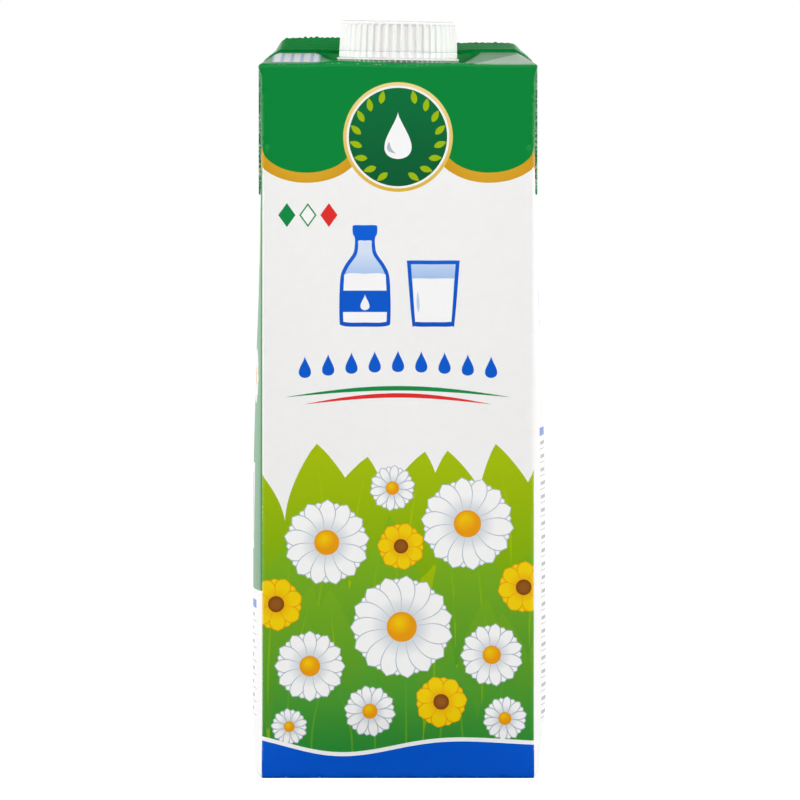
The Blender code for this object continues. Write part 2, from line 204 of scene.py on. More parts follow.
@dataclass(frozen=True)
class PrintedBoard:
    """Liquid packaging board: bleached paper, offset printed and coated with polyethylene.

    The coat makes it satin: the ink keeps its colour face on, and pales at a grazing look. The
    paper's fibres show through the coat as a fine unevenness, and along the folds the ink cracks
    to white specks.
    """

    ink: Ink
    cracked: str = "#e9ece4"
    roughness: float = 0.36
    coat_ior: float = 1.5
    fibre_mm: float = 0.9
    fibre_deep_mm: float = 0.05
    ripple_mm: float = 7.0
    ripple_deep_mm: float = 0.3
    speck_mm: float = 0.55
    mottle_mm: float = 3.0

    def material(self) -> bpy.types.Material:
        """Make the material of one ink.

        Returns:
            The material, named for its ink.
        """
        material, tree, surface = new_material(f"printed_board_{self.ink.name.lower()}")
        place = add_node(tree, "ShaderNodeTexCoord").outputs["Object"]
        tone = add_node(tree, "ShaderNodeAttribute", {"attribute_name": "tone"})
        fold = add_node(tree, "ShaderNodeAttribute", {"attribute_name": "fold"})
        dark, light = map(linear, self.ink.value)
        ink = add_node(tree, "ShaderNodeMix", {"data_type": "RGBA"}, {
            "Factor": tone.outputs["Fac"], MIX_FIRST: dark, MIX_SECOND: light,
        })
        mottle = add_node(tree, "ShaderNodeTexNoise", {}, {
            "Vector": place, "Scale": 1 / (self.mottle_mm * MM), "Detail": 4.0, "Roughness": 0.6,
        })
        dim = add_node(tree, "ShaderNodeMapRange", {}, {
            "Value": mottle.outputs["Fac"], "From Min": 0.3, "From Max": 0.7,
            "To Min": 0.988, "To Max": 1.008,
        })
        inked = add_node(tree, "ShaderNodeHueSaturation", {}, {
            "Color": ink.outputs[MIX_RESULT], "Value": dim.outputs["Result"],
        })
        speck = add_node(tree, "ShaderNodeTexNoise", {}, {
            "Vector": place, "Scale": 1 / (self.speck_mm * MM), "Detail": 3.0, "Roughness": 0.65,
        })
        rubbed = add_node(tree, "ShaderNodeMath", {"operation": "MULTIPLY"}, {
            0: speck.outputs["Fac"], 1: fold.outputs["Fac"],
        })
        cracks = add_node(tree, "ShaderNodeMapRange", {}, {
            "Value": rubbed.outputs[0], "From Min": 0.53, "From Max": 0.62,
            "To Min": 0.0, "To Max": 0.75,
        })
        colour = add_node(tree, "ShaderNodeMix", {"data_type": "RGBA"}, {
            "Factor": cracks.outputs["Result"], MIX_FIRST: inked.outputs["Color"],
            MIX_SECOND: linear(self.cracked),
        })
        fibre = add_node(tree, "ShaderNodeTexNoise", {}, {
            "Vector": place, "Scale": 1 / (self.fibre_mm * MM), "Detail": 5.0, "Roughness": 0.55,
        })
        ripple = add_node(tree, "ShaderNodeTexNoise", {}, {
            "Vector": place, "Scale": 1 / (self.ripple_mm * MM), "Detail": 2.0,
        })
        fine = add_node(tree, "ShaderNodeBump", {}, {
            "Strength": 0.10, "Distance": self.fibre_deep_mm * MM, "Height": fibre.outputs["Fac"],
        })
        bump = add_node(tree, "ShaderNodeBump", {}, {
            "Strength": 0.03, "Distance": self.ripple_deep_mm * MM, "Height": ripple.outputs["Fac"],
            "Normal": fine.outputs["Normal"],
        })
        rough = add_node(tree, "ShaderNodeMapRange", {}, {
            "Value": fibre.outputs["Fac"], "From Min": 0.25, "From Max": 0.75,
            "To Min": self.roughness - 0.03, "To Max": self.roughness + 0.04,
        })
        shader = add_node(tree, "ShaderNodeBsdfPrincipled", {}, {
            "Base Color": colour.outputs[MIX_RESULT], "Roughness": rough.outputs["Result"],
            "IOR": self.coat_ior, "Normal": bump.outputs["Normal"],
        })
        tree.links.new(shader.outputs["BSDF"], surface)
        return material


@dataclass(frozen=True)
class BoardCore:
    """The cut edge of the board: unprinted paper fibre, a warm white and quite matt."""

    dark: str = "#cfc7b6"
    light: str = "#efeade"
    roughness: float = 0.75
    fibre_mm: float = 0.35
    fibre_deep_mm: float = 0.08

    def material(self) -> bpy.types.Material:
        """Make the material.

        Returns:
            The material.
        """
        material, tree, surface = new_material("cut_paper_core")
        place = add_node(tree, "ShaderNodeTexCoord").outputs["Object"]
        fibre = add_node(tree, "ShaderNodeTexNoise", {}, {
            "Vector": place, "Scale": 1 / (self.fibre_mm * MM), "Detail": 5.0,
        })
        pulp = add_node(tree, "ShaderNodeMix", {"data_type": "RGBA"}, {
            "Factor": fibre.outputs["Fac"], MIX_FIRST: linear(self.dark), MIX_SECOND: linear(self.light),
        })
        bump = add_node(tree, "ShaderNodeBump", {}, {
            "Strength": 0.4, "Distance": self.fibre_deep_mm * MM, "Height": fibre.outputs["Fac"],
        })
        shader = add_node(tree, "ShaderNodeBsdfPrincipled", {}, {
            "Base Color": pulp.outputs[MIX_RESULT], "Roughness": self.roughness,
            "Normal": bump.outputs["Normal"],
        })
        tree.links.new(shader.outputs["BSDF"], surface)
        return material


@dataclass(frozen=True)
class MouldedPolyethylene:
    """Injection-moulded white polyethylene: satin, and light goes a little way into it.

    The mould's spark-eroded wall leaves a fine grain, and the resin's flow a slow change of gloss.
    """

    name: str
    colour: str = "#f4f4f2"
    roughness: float = 0.34
    ior: float = 1.52
    grain_mm: float = 0.22
    grain_deep_mm: float = 0.03
    flow_mm: float = 5.0
    glow: float = 0.12
    glow_mm: float = 1.2

    def material(self) -> bpy.types.Material:
        """Make the material.

        Returns:
            The material.
        """
        material, tree, surface = new_material(self.name)
        place = add_node(tree, "ShaderNodeTexCoord").outputs["Object"]
        grain = add_node(tree, "ShaderNodeTexNoise", {}, {
            "Vector": place, "Scale": 1 / (self.grain_mm * MM), "Detail": 3.0,
        })
        flow = add_node(tree, "ShaderNodeTexNoise", {}, {
            "Vector": place, "Scale": 1 / (self.flow_mm * MM), "Detail": 2.0,
        })
        rough = add_node(tree, "ShaderNodeMapRange", {}, {
            "Value": flow.outputs["Fac"], "From Min": 0.3, "From Max": 0.7,
            "To Min": self.roughness - 0.04, "To Max": self.roughness + 0.05,
        })
        tint = add_node(tree, "ShaderNodeMapRange", {}, {
            "Value": flow.outputs["Fac"], "From Min": 0.3, "From Max": 0.7,
            "To Min": 0.985, "To Max": 1.0,
        })
        colour = add_node(tree, "ShaderNodeHueSaturation", {}, {
            "Color": linear(self.colour), "Value": tint.outputs["Result"],
        })
        bump = add_node(tree, "ShaderNodeBump", {}, {
            "Strength": 0.12, "Distance": self.grain_deep_mm * MM, "Height": grain.outputs["Fac"],
        })
        shader = add_node(tree, "ShaderNodeBsdfPrincipled", {}, {
            "Base Color": colour.outputs["Color"], "Roughness": rough.outputs["Result"], "IOR": self.ior,
            "Subsurface Weight": self.glow, "Subsurface Scale": self.glow_mm * MM,
            "Normal": bump.outputs["Normal"],
        })
        tree.links.new(shader.outputs["BSDF"], surface)
        return material


@dataclass(frozen=True)
class StudioPaper:
    """The pale backdrop paper that the pack stands on: matt, evenly lit, nearly white."""

    colour: str = "#bcbcbb"
    roughness: float = 0.9
    shine: float = 0.1
    glow: float = 0.93

    def material(self) -> bpy.types.Material:
        """Make the material.

        Returns:
            The material.
        """
        material, tree, surface = new_material("studio_paper")
        shader = add_node(tree, "ShaderNodeBsdfPrincipled", {}, {
            "Base Color": linear(self.colour), "Roughness": self.roughness,
            "Specular IOR Level": self.shine,
            "Emission Color": WHITE_LIGHT, "Emission Strength": self.glow,
        })
        tree.links.new(shader.outputs["BSDF"], surface)
        return material


@dataclass(frozen=True)
class PackShape:
    """Sizes of the filled pack, and the map from a flat brick to the folded, swollen board."""

    width: float = 73.0
    depth: float = 70.0
    height: float = 190.5
    ply: float = 0.45
    right_swell: float = 3.35
    left_swell: float = 2.65
    face_swell: float = 1.9
    swell_top: float = 187.0
    swell_full: float = 58.0
    swell_roundness: float = 2.4
    right_base_share: float = 0.45
    left_base_share: float = 0.80
    base_rise: float = 20.0
    ear_press: float = 0.6
    ear_press_height: float = 172.0
    ear_press_reach: float = 18.0
    ear_length: float = 35.0
    ear_proud: float = 0.3
    ear_fold: float = 0.45
    gable_rise: float = 3.2
    gable_start: float = 168.0
    corner_pinch: float = 0.7
    pinch_height: float = 4.5
    top_zone: float = 7.0
    base_zone: float = 4.0
    upright_radius: float = 1.3
    crease_radius: float = 0.6
    crease_spacing: float = 10.5
    shoulder_draw: float = 5.0
    base_roll: float = 1.3
    shoulder_squareness: float = 1.35
    seat_y: float = -17.5
    seat_height: float = 190.85
    seat_half: float = 16.8
    seat_blend: float = 5.2
    seat_back: float = -0.8
    ridge_dip: float = 0.3
    ridge_dip_reach: float = 24.0
    cap_roll: float = math.radians(1.0)
    seam_from: float = 20.0
    seam_width: float = 7.5
    rim: float = 2.6
    recess: float = 0.9
    apex_gap: float = 1.5
    ripple: float = 0.06
    lip_end: float = 1.0
    gable_end: float = 4.0
    fold_zone: float = 3.0
    dent: float = 0.40
    dent_x: float = 2.6
    dent_reach: float = 4.0
    dent_rim: float = 0.28
    dent_rim_x: float = 15.5
    dent_rim_reach: float = 6.0

    @property
    def half_w(self) -> float:
        """Half the width between the upright creases."""
        return self.width / 2

    @property
    def half_d(self) -> float:
        """Half the depth between the upright creases."""
        return self.depth / 2

    @property
    def girth(self) -> float:
        """The way round the four walls."""
        return 2 * (self.width + self.depth)

    def wall(self, u: np.ndarray, v: np.ndarray) -> Points:
        """Place sheet points on the walls of the flat brick.

        Args:
            u: The way round from the middle of the front, positive to the right.
            v: The height.

        Returns:
            The points of the flat brick, one row each.
        """
        s = (u + self.half_w) % self.girth
        w, d, hw, hd = self.width, self.depth, self.half_w, self.half_d
        walls = [s < w, s < w + d, s < 2 * w + d]
        x = np.select(walls, [s - hw, np.full_like(s, hw), hw - (s - w - d)], np.full_like(s, -hw))
        y = np.select(walls, [np.full_like(s, -hd), s - w - hd, np.full_like(s, hd)], hd - (s - 2 * w - d))
        return np.column_stack([x, y, v])

    def swell_height(self, z: np.ndarray, base_share: np.ndarray | float) -> np.ndarray:
        """Share of the full swell at a height, from none under the top to all near the base."""
        foot = base_share + (1.0 - base_share) * smoothstep(0.0, self.base_rise, z)
        return smoothstep(self.swell_top, self.swell_full, z) * foot

    def swell_across(self, offset: np.ndarray, half: float) -> np.ndarray:
        """Share of the swell across a panel, from none at its creases to all in the middle."""
        return 1.0 - np.clip(np.abs(offset) / half, 0.0, 1.0) ** self.swell_roundness

    def edge_radius(self, y: np.ndarray, z: np.ndarray) -> np.ndarray:
        """Radius of the nearest fold: tight at the corners, drawn in at mid-depth.

        Args:
            y: Places from front to back.
            z: Heights.

        Returns:
            The radius at each place.
        """
        inward = 1.0 - np.clip(np.abs(y) / self.half_d, 0.0, 1.0)
        top = self.height - self.top_zone
        spread = self.crease_spacing
        near_base = smoothstep(self.base_zone + spread, self.base_zone, z)
        near = np.maximum(smoothstep(top - spread, top, z), near_base)
        radius = self.upright_radius + (self.crease_radius - self.upright_radius) * near
        radius = np.where(z > top, self.crease_radius + self.shoulder_draw * inward, radius)
        return np.where(z < self.base_zone, self.crease_radius + self.base_roll * inward, radius)

    def rounded(self, flat: Points) -> Points:
        """Move points of the flat brick onto its folded edges.

        Args:
            flat: Points on the faces of the flat brick, one row each.

        Returns:
            The same points on rounded edges.
        """
        x, y, z = flat.T
        radius = self.edge_radius(y, z)
        square = np.where(z > self.height - self.top_zone, self.shoulder_squareness, 2.0)
        inner = np.column_stack([
            np.clip(x, radius - self.half_w, self.half_w - radius),
            np.clip(y, radius - self.half_d, self.half_d - radius),
            np.clip(z, radius, self.height - radius),
        ])
        out = flat - inner
        reach = (np.abs(out) ** square[:, None]).sum(1) ** (1.0 / square)
        return inner + out * (radius / np.maximum(reach, 1e-9))[:, None]

    def gable(self, x: np.ndarray, y: np.ndarray) -> np.ndarray:
        """Height of the top over its front fold: up to the seam, and flat under the spout.

        Args:
            x: Places from left to right.
            y: Places from front to back.

        Returns:
            The rise at each place.
        """
        dip = 1.0 - self.ridge_dip * smoothstep(self.ridge_dip_reach, 0.0, np.abs(x))
        slope = self.gable_rise * dip * (1.0 - np.clip(np.abs(y) / self.half_d, 0.0, 1.0))
        seat = self.seat_height - self.height - math.tan(self.cap_roll) * x
        on_seat = smoothstep(self.seat_half + self.seat_blend, self.seat_half, np.abs(x))
        on_seat = on_seat * smoothstep(0.0, self.seat_back, y)
        on_seat = on_seat * smoothstep(-self.half_d, self.lip_end - self.half_d, y)
        return slope + (seat - slope) * on_seat

    def fold_dip(self, x: np.ndarray, y: np.ndarray) -> np.ndarray:
        """How the front top fold is dented under the cap and pushed up beside it.

        Args:
            x: Places from left to right.
            y: Places from front to back.

        Returns:
            The rise at each place, below 0 in the dent.
        """
        at_front = smoothstep(-self.half_d + self.fold_zone, -self.half_d, y)
        dent = -self.dent * np.exp(-((x - self.dent_x) / self.dent_reach) ** 2)
        lift = self.dent_rim * np.exp(-((np.abs(x) - self.dent_rim_x) / self.dent_rim_reach) ** 2)
        return (dent + lift) * at_front

    def ear_share(self, flat: Points) -> np.ndarray:
        """1 on a folded ear, 0 beside it, rounded over at the ear's sloping folds.

        Args:
            flat: Points on the faces of the flat brick, one row each.

        Returns:
            The share at each point.
        """
        x, y, z = flat.T
        inside = (z - (self.height - self.ear_length) - np.abs(y)) / math.sqrt(2)
        edge = 1.0 - np.clip(inside / self.ear_fold, 0.0, 1.0)
        return np.sqrt(np.maximum(1.0 - edge ** 2, 0.0)) * (np.abs(x) > self.half_w - ON_FACE)

    def waviness(self, flat: Points) -> np.ndarray:
        """The slow unevenness of the panels, inwards only, none at the creases.

        Args:
            flat: Points on the faces of the flat brick, one row each.

        Returns:
            The shift out of the panel at each point, 0 or less.
        """
        x, y, z = flat.T
        on_face = np.abs(y) > self.half_d - ON_FACE
        across = np.where(on_face, x / self.half_w, y / self.half_d)
        calm = 1.0 - np.clip(np.abs(across), 0, 1) ** 4
        calm = calm * np.clip(4 * z * (self.height - z) / self.height ** 2, 0, 1)
        # Two slow waves cross each other, and 1.6 is the most that both together reach
        wave = np.sin(TURN * (across * 0.8 + z / 71.0) + 0.7)
        wave = wave + 0.6 * np.sin(TURN * (z / 43.0 - across) + 2.1)
        return self.ripple * (wave - 1.6) * calm

    def pressed(self, flat: Points, raised: np.ndarray | float = 0.0) -> Points:
        """Where points of the flat brick go once the pack is folded and filled.

        Args:
            flat: Points on the faces of the flat brick, one row each.
            raised: How far the board there lies on another ply, out from a face.

        Returns:
            The pressed points, in millimetres.
        """
        on_side = np.abs(flat[:, 0]) > self.half_w - ON_FACE
        on_face = np.abs(flat[:, 1]) > self.half_d - ON_FACE
        x, y, z = self.rounded(flat).T
        right = x > 0
        across = self.swell_across(y, self.half_d)
        share = np.where(right, self.right_base_share, self.left_base_share)
        swell = np.where(right, self.right_swell, self.left_swell) * self.swell_height(z, share) * across
        fall = np.clip(np.abs(z - self.ear_press_height) / self.ear_press_reach, 0.0, 1.0)
        panel = swell - self.ear_press * across * (1.0 - fall ** 2)
        lip = smoothstep(self.height - self.pinch_height, self.height - self.lip_end, z)
        corner = np.clip(np.abs(y) / self.half_d, 0.0, 1.0)
        ear = self.ear_proud + (self.corner_pinch - self.ear_proud) * corner * lip
        side = panel + (ear - panel) * np.maximum(lip, self.ear_share(flat))
        wave = self.waviness(flat)
        side = side + wave * on_side
        face = self.face_swell * self.swell_height(z, 0.0) * self.swell_across(x, self.half_w)
        face = face + raised + wave * on_face
        lift = self.gable(x, y) * smoothstep(self.gable_start, self.height - self.gable_end, z)
        lift = lift + self.fold_dip(x, y) * smoothstep(self.height - self.fold_zone, self.height, z)
        return np.column_stack([x + side * x / self.half_w, y + face * y / self.half_d, z + lift])


@dataclass
class Patch:
    """One flat shape of ink on a sheet."""

    outline: Points
    ink: Ink
    tone: Tone | float = 0.5


def level(low: float, high: float) -> Tone:
    """A tone that goes from 0 at one height of the sheet to 1 at another."""
    return lambda points: np.clip((points[:, 1] - low) / (high - low), 0.0, 1.0)


def round_about(centre: Sequence[float], inner: float, outer: float) -> Tone:
    """A tone that goes from 0 at one distance from a centre to 1 at another.

    Args:
        centre: The centre.
        inner: Where the tone is 0.
        outer: Where it is 1.

    Returns:
        The tone.
    """
    def tone(points: Points) -> np.ndarray:
        """The tone at each point of the sheet."""
        away = np.hypot(points[:, 0] - centre[0], points[:, 1] - centre[1])
        return np.clip((away - inner) / (outer - inner), 0.0, 1.0)
    return tone


def oval(centre: Sequence[float], wide: float, high: float, steps: int = 72) -> Points:
    """The outline of an oval, given by its half width and half height."""
    turn = np.linspace(0.0, TURN, steps, endpoint=False)
    return np.column_stack([centre[0] + wide * np.cos(turn), centre[1] + high * np.sin(turn)])


def disc(centre: Sequence[float], radius: float, steps: int = 72) -> Points:
    """The outline of a disc."""
    return oval(centre, radius, radius, steps)


def box(left: float, low: float, right: float, high: float) -> Points:
    """The outline of an upright rectangle."""
    return np.array([[left, low], [right, low], [right, high], [left, high]])


def leaf(root: Sequence[float], tip: Sequence[float], width: float, bend: float = 0.0,
         fullness: float = 0.45, steps: int = 14, point: float = 0.85) -> Points:
    """The outline of a leaf, petal or blade.

    Args:
        root: Where it grows from.
        tip: Where it ends.
        width: Its greatest width.
        bend: How far its middle line bows to the left of the way to the tip.
        fullness: Where along it is widest, as a share of its length.
        steps: How many points each side has.
        point: How pointed its ends are; 0.5 makes them round.

    Returns:
        The outline, one point a row.
    """
    root, tip = np.asarray(root, float), np.asarray(tip, float)
    along = tip - root
    length = np.hypot(*along)
    aside = np.array([-along[1], along[0]]) / length
    t = np.linspace(0.0, 1.0, steps)
    middle = root + t[:, None] * along + (bend * np.sin(math.pi * t))[:, None] * aside
    power = math.log(0.5) / math.log(fullness)
    half = (width / 2 * np.sin(math.pi * t ** power).clip(0.0) ** point)[:, None] * aside
    return np.vstack([middle - half, (middle + half)[-2:0:-1]])


def drop(centre: Sequence[float], height: float, width: float, steps: int = 48) -> Points:
    """The outline of a hanging drop, its point up.

    Args:
        centre: Its middle.
        height: Its height.
        width: Its greatest width.
        steps: How many points it has.

    Returns:
        The outline, one point a row.
    """
    turn = np.linspace(0.0, TURN, steps, endpoint=False)
    x = width / 1.54 * np.sin(turn) * np.sin(turn / 2) ** 2
    return np.column_stack([centre[0] + x, centre[1] + height / 2 * np.cos(turn)])


def profile(points: Sequence[Sequence[float]], foot: Sequence[float], steps: int = 6) -> Points:
    """A vessel's outline: a smooth half profile of (half width, height), mirrored.

    Args:
        points: The right half, from top to foot.
        foot: The middle of its foot.
        steps: Points for each stretch.

    Returns:
        The outline, one point a row.
    """
    knots = np.array([points[0], *points, points[-1]], float)
    side: list[np.ndarray] = []
    for before, start, end, after in zip(knots, knots[1:], knots[2:], knots[3:]):
        t = np.linspace(0.0, 1.0, steps, endpoint=False)[:, None]
        pull = 0.5 * ((end - before) * (t ** 3 - 2 * t ** 2 + t) + (after - start) * (t ** 3 - t ** 2))
        side.append(start * (2 * t ** 3 - 3 * t ** 2 + 1) + end * (3 * t ** 2 - 2 * t ** 3) + pull)
    right = np.vstack([*side, knots[-1:]])
    left = right[::-1] * (-1, 1)
    return np.vstack([right, left[1:-1]]) + foot


@dataclass
class Sheet:
    """A flat sheet of board with its print, which is cut into triangles for pressing."""

    low: tuple[float, float]
    high: tuple[float, float]
    columns: Sequence[float]
    rows: Sequence[float]
    patches: list[Patch] = field(default_factory=list)
    creases: list[Points] = field(default_factory=list)
    longest_mm: float = 1.6

    def add(self, outline: Points, ink: Ink, tone: Tone | float = 0.5) -> None:
        """Print a patch over what is there; its outline is stored anticlockwise.

        Args:
            outline: The outline, one point a row.
            ink: Its ink.
            tone: The ink's tone, or what gives it at each point.
        """
        outline = np.asarray(outline, float)
        after = np.roll(outline, -1, axis=0)
        turn = (outline[:, 0] * after[:, 1] - outline[:, 1] * after[:, 0]).sum()
        self.patches.append(Patch(outline if turn > 0 else outline[::-1], ink, tone))

    def dense(self, outline: Points) -> Points:
        """Split an outline's long sides, so that it follows the pressed board.

        Args:
            outline: The outline, one point a row.

        Returns:
            The outline with more points.
        """
        parts: list[np.ndarray] = []
        for start, end in zip(outline, np.roll(outline, -1, axis=0)):
            count = max(1, math.ceil(np.hypot(*(end - start)) / self.longest_mm))
            parts.append(start + (end - start) * np.arange(count)[:, None] / count)
        return np.vstack(parts)

    def clipped(self, outline: Points) -> Points:
        """The part of an outline that is on the sheet.

        Args:
            outline: The outline, one point a row.

        Returns:
            The outline of what is left, without points if nothing is.
        """
        for axis in (0, 1):
            for limit, sign in ((self.low[axis], 1.0), (self.high[axis], -1.0)):
                if not len(outline):
                    return outline
                inside = sign * (outline[:, axis] - limit) >= 0.0
                kept: list[np.ndarray] = []
                for here, there, is_in, then_in in zip(
                    outline, np.roll(outline, -1, axis=0), inside, np.roll(inside, -1)
                ):
                    if is_in:
                        kept.append(here)
                    if is_in != then_in:
                        share = (limit - here[axis]) / (there[axis] - here[axis])
                        cross = here + share * (there - here)
                        cross[axis] = limit
                        kept.append(cross)
                outline = np.array(kept).reshape(-1, 2)
        return outline

    def triangles(self) -> tuple[Points, np.ndarray, np.ndarray]:
        """Cut the sheet into triangles that follow its print.

        Returns:
            The points, the triangles as rows of three indices, and each triangle's patch, -1
            where the board is bare.
        """
        places = [(x, y) for x in self.columns for y in self.rows]
        faces: list[list[int]] = []
        owners: list[int] = []
        edges: list[tuple[int, int]] = []
        for line in self.creases:
            start = len(places)
            places.extend(map(tuple, line))
            edges.extend((at, at + 1) for at in range(start, start + len(line) - 1))
        for number, patch in enumerate(self.patches):
            outline = self.clipped(self.dense(patch.outline))
            if len(outline) < 3:
                continue
            faces.append(list(range(len(places), len(places) + len(outline))))
            owners.append(number)
            places.extend(map(tuple, outline))
        cut = delaunay_2d_cdt([Vector(place) for place in places], edges, faces, 0, 1e-4, True)
        points = np.array([tuple(point) for point in cut[0]])
        triangles = np.array([tuple(face) for face in cut[2]], int)
        patch_of = np.array([owners[max(under)] if under else -1 for under in cut[5]], int)
        return points, triangles, patch_of


@dataclass
class Skin:
    """Collects pressed triangles with their inks and makes one board mesh of them."""

    name: str
    weld_mm: float = 0.002
    sharp_degrees: float = 42.0
    points: list[Points] = field(default_factory=list)
    faces: list[np.ndarray] = field(default_factory=list)
    inks: list[np.ndarray] = field(default_factory=list)
    tones: list[np.ndarray] = field(default_factory=list)
    folds: list[np.ndarray] = field(default_factory=list)
    used: list[object] = field(default_factory=list)

    def slot(self, finish: object) -> int:
        """The material slot of a finish.

        Args:
            finish: The finish.

        Returns:
            Its slot, a new one if it wasn't used yet.
        """
        if finish not in self.used:
            self.used.append(finish)
        return self.used.index(finish)

    def add(self, points: Points, faces: np.ndarray, slots: np.ndarray, tones: np.ndarray,
            folds: np.ndarray) -> None:
        """Add a pressed piece of board.

        Args:
            points: Its places in millimetres.
            faces: Its triangles.
            slots: Each triangle's material slot.
            tones: The ink's tone at each triangle's three corners.
            folds: How near a fold each point is, 1 on it.
        """
        start = sum(map(len, self.points))
        self.points.append(points)
        self.faces.append(faces + start)
        self.inks.append(slots)
        self.tones.append(tones)
        self.folds.append(folds)

    def add_sheet(self, sheet: Sheet, place: Callable[[Points], Points],
                  fold: Callable[[Points], np.ndarray], flip: bool = False) -> None:
        """Press a printed sheet and add it.

        Args:
            sheet: The sheet and its patches.
            place: Gives the pressed place of sheet points.
            fold: Gives how near a fold sheet points are.
            flip: Whether the print faces the other way.
        """
        points, triangles, patch_of = sheet.triangles()
        slots = np.full(len(triangles), self.slot(PrintedBoard(Ink.WHITE)))
        tones = np.full((len(triangles), 3), 0.5)
        for number, patch in enumerate(sheet.patches):
            mine = np.flatnonzero(patch_of == number)
            if not len(mine):
                continue
            slots[mine] = self.slot(PrintedBoard(patch.ink))
            if callable(patch.tone):
                tones[mine] = patch.tone(points[triangles[mine]].reshape(-1, 2)).reshape(-1, 3)
            else:
                tones[mine] = patch.tone
        if flip:
            triangles, tones = triangles[:, ::-1], tones[:, ::-1]
        self.add(place(points), triangles, slots, tones, fold(points))

    def build(self) -> bpy.types.Object:
        """Weld what was added and make the object.

        Returns:
            The piece.
        """
        points = np.vstack(self.points)
        faces = np.vstack(self.faces)
        slots = np.concatenate(self.inks)
        tones = np.vstack(self.tones)
        folds = np.concatenate(self.folds)
        key = np.round(points / self.weld_mm).astype(np.int64)
        _, first, index = np.unique(key, axis=0, return_index=True, return_inverse=True)
        faces = index.reshape(-1)[faces]
        whole = (faces[:, 0] != faces[:, 1]) & (faces[:, 1] != faces[:, 2]) & (faces[:, 0] != faces[:, 2])
        faces, slots, tones = faces[whole], slots[whole], tones[whole]
        mesh = bpy.data.meshes.new(self.name)
        mesh.from_pydata((points[first] * MM).tolist(), [], faces.tolist())
        for finish in self.used:
            mesh.materials.append(finish.material())
        mesh.polygons.foreach_set("material_index", slots.astype(np.int32))
        note_on_mesh(mesh, "tone", "CORNER", tones)
        note_on_mesh(mesh, "fold", "POINT", folds[first])
        return finished_piece(mesh, self.sharp_degrees)


def graded(half: float, near: Sequence[float], step: float, extra: Iterable[float] = ()) -> list[float]:
    """Lines across a panel: close together at its folds and evenly spaced between.

    Args:
        half: Half the panel's size.
        near: Distances of the close lines from a fold.
        step: The spacing of the others.
        extra: More lines that the panel needs.

    Returns:
        The lines from -half to half.
    """
    inner = half - max(near)
    count = 2 * round(inner / step)
    middle = [-inner + 2 * inner * at / count for at in range(1, count)]
    lines = {round(line, 4) for line in [*middle, *extra]}
    for gap in (0.0, *near):
        lines |= {round(half - gap, 4), round(gap - half, 4)}
    return sorted(lines)


@dataclass
class Sleeve:
    """The walls' sheet with its four panels, printed as a band without ends."""

    shape: PackShape
    sheet: Sheet

    def panels(self) -> list[tuple[float, float]]:
        """Middle and half width of the four panels, from the left one round to the back."""
        w, d = self.shape.width, self.shape.depth
        return [(-(w + d) / 2, d / 2), (0.0, w / 2), ((w + d) / 2, d / 2), (w + d, w / 2)]

    def around(self, outline: Points, ink: Ink, tone: Tone | float = 0.5) -> None:
        """Print a patch wherever it shows, across the sheet's ends too.

        Args:
            outline: The outline, one point a row.
            ink: Its ink.
            tone: The ink's tone, or what gives it at each point.
        """
        for turn in (-1, 0, 1):
            shift = np.array([turn * self.shape.girth, 0.0])
            moved = np.asarray(outline, float) + shift
            if moved[:, 0].max() > self.sheet.low[0] and moved[:, 0].min() < self.sheet.high[0]:
                if callable(tone):
                    self.sheet.add(moved, ink, lambda points, s=shift, t=tone: t(points - s))
                else:
                    self.sheet.add(moved, ink, tone)


@dataclass(frozen=True)
class Valance:
    """The green field at the top, its lower edge scalloped and piped in gold."""

    low: float = 161.5
    deep: float = 7.5
    scallops: int = 3
    piping: float = 2.7
    bleed: float = 5.0

    def show(self, sleeve: Sleeve) -> None:
        """Print it round all four walls.

        Args:
            sleeve: The sleeve to print.
        """
        above = sleeve.shape.height + self.bleed
        eaves = self.low + self.deep
        for ink, more in ((Ink.GOLD, self.piping), (Ink.DEEP_GREEN, 0.0)):
            for middle, half in sleeve.panels():
                pitch = 2 * half / self.scallops
                for at in range(self.scallops):
                    centre = (middle - half + pitch * (at + 0.5), eaves)
                    tone = round_about(centre, pitch * 0.62, 0.0) if more else 0.5
                    sleeve.around(oval(centre, pitch / 2 + more, self.deep + more), ink, tone)
                if not more:
                    sleeve.around(box(middle - half - 1, eaves, middle + half + 1, above), ink)


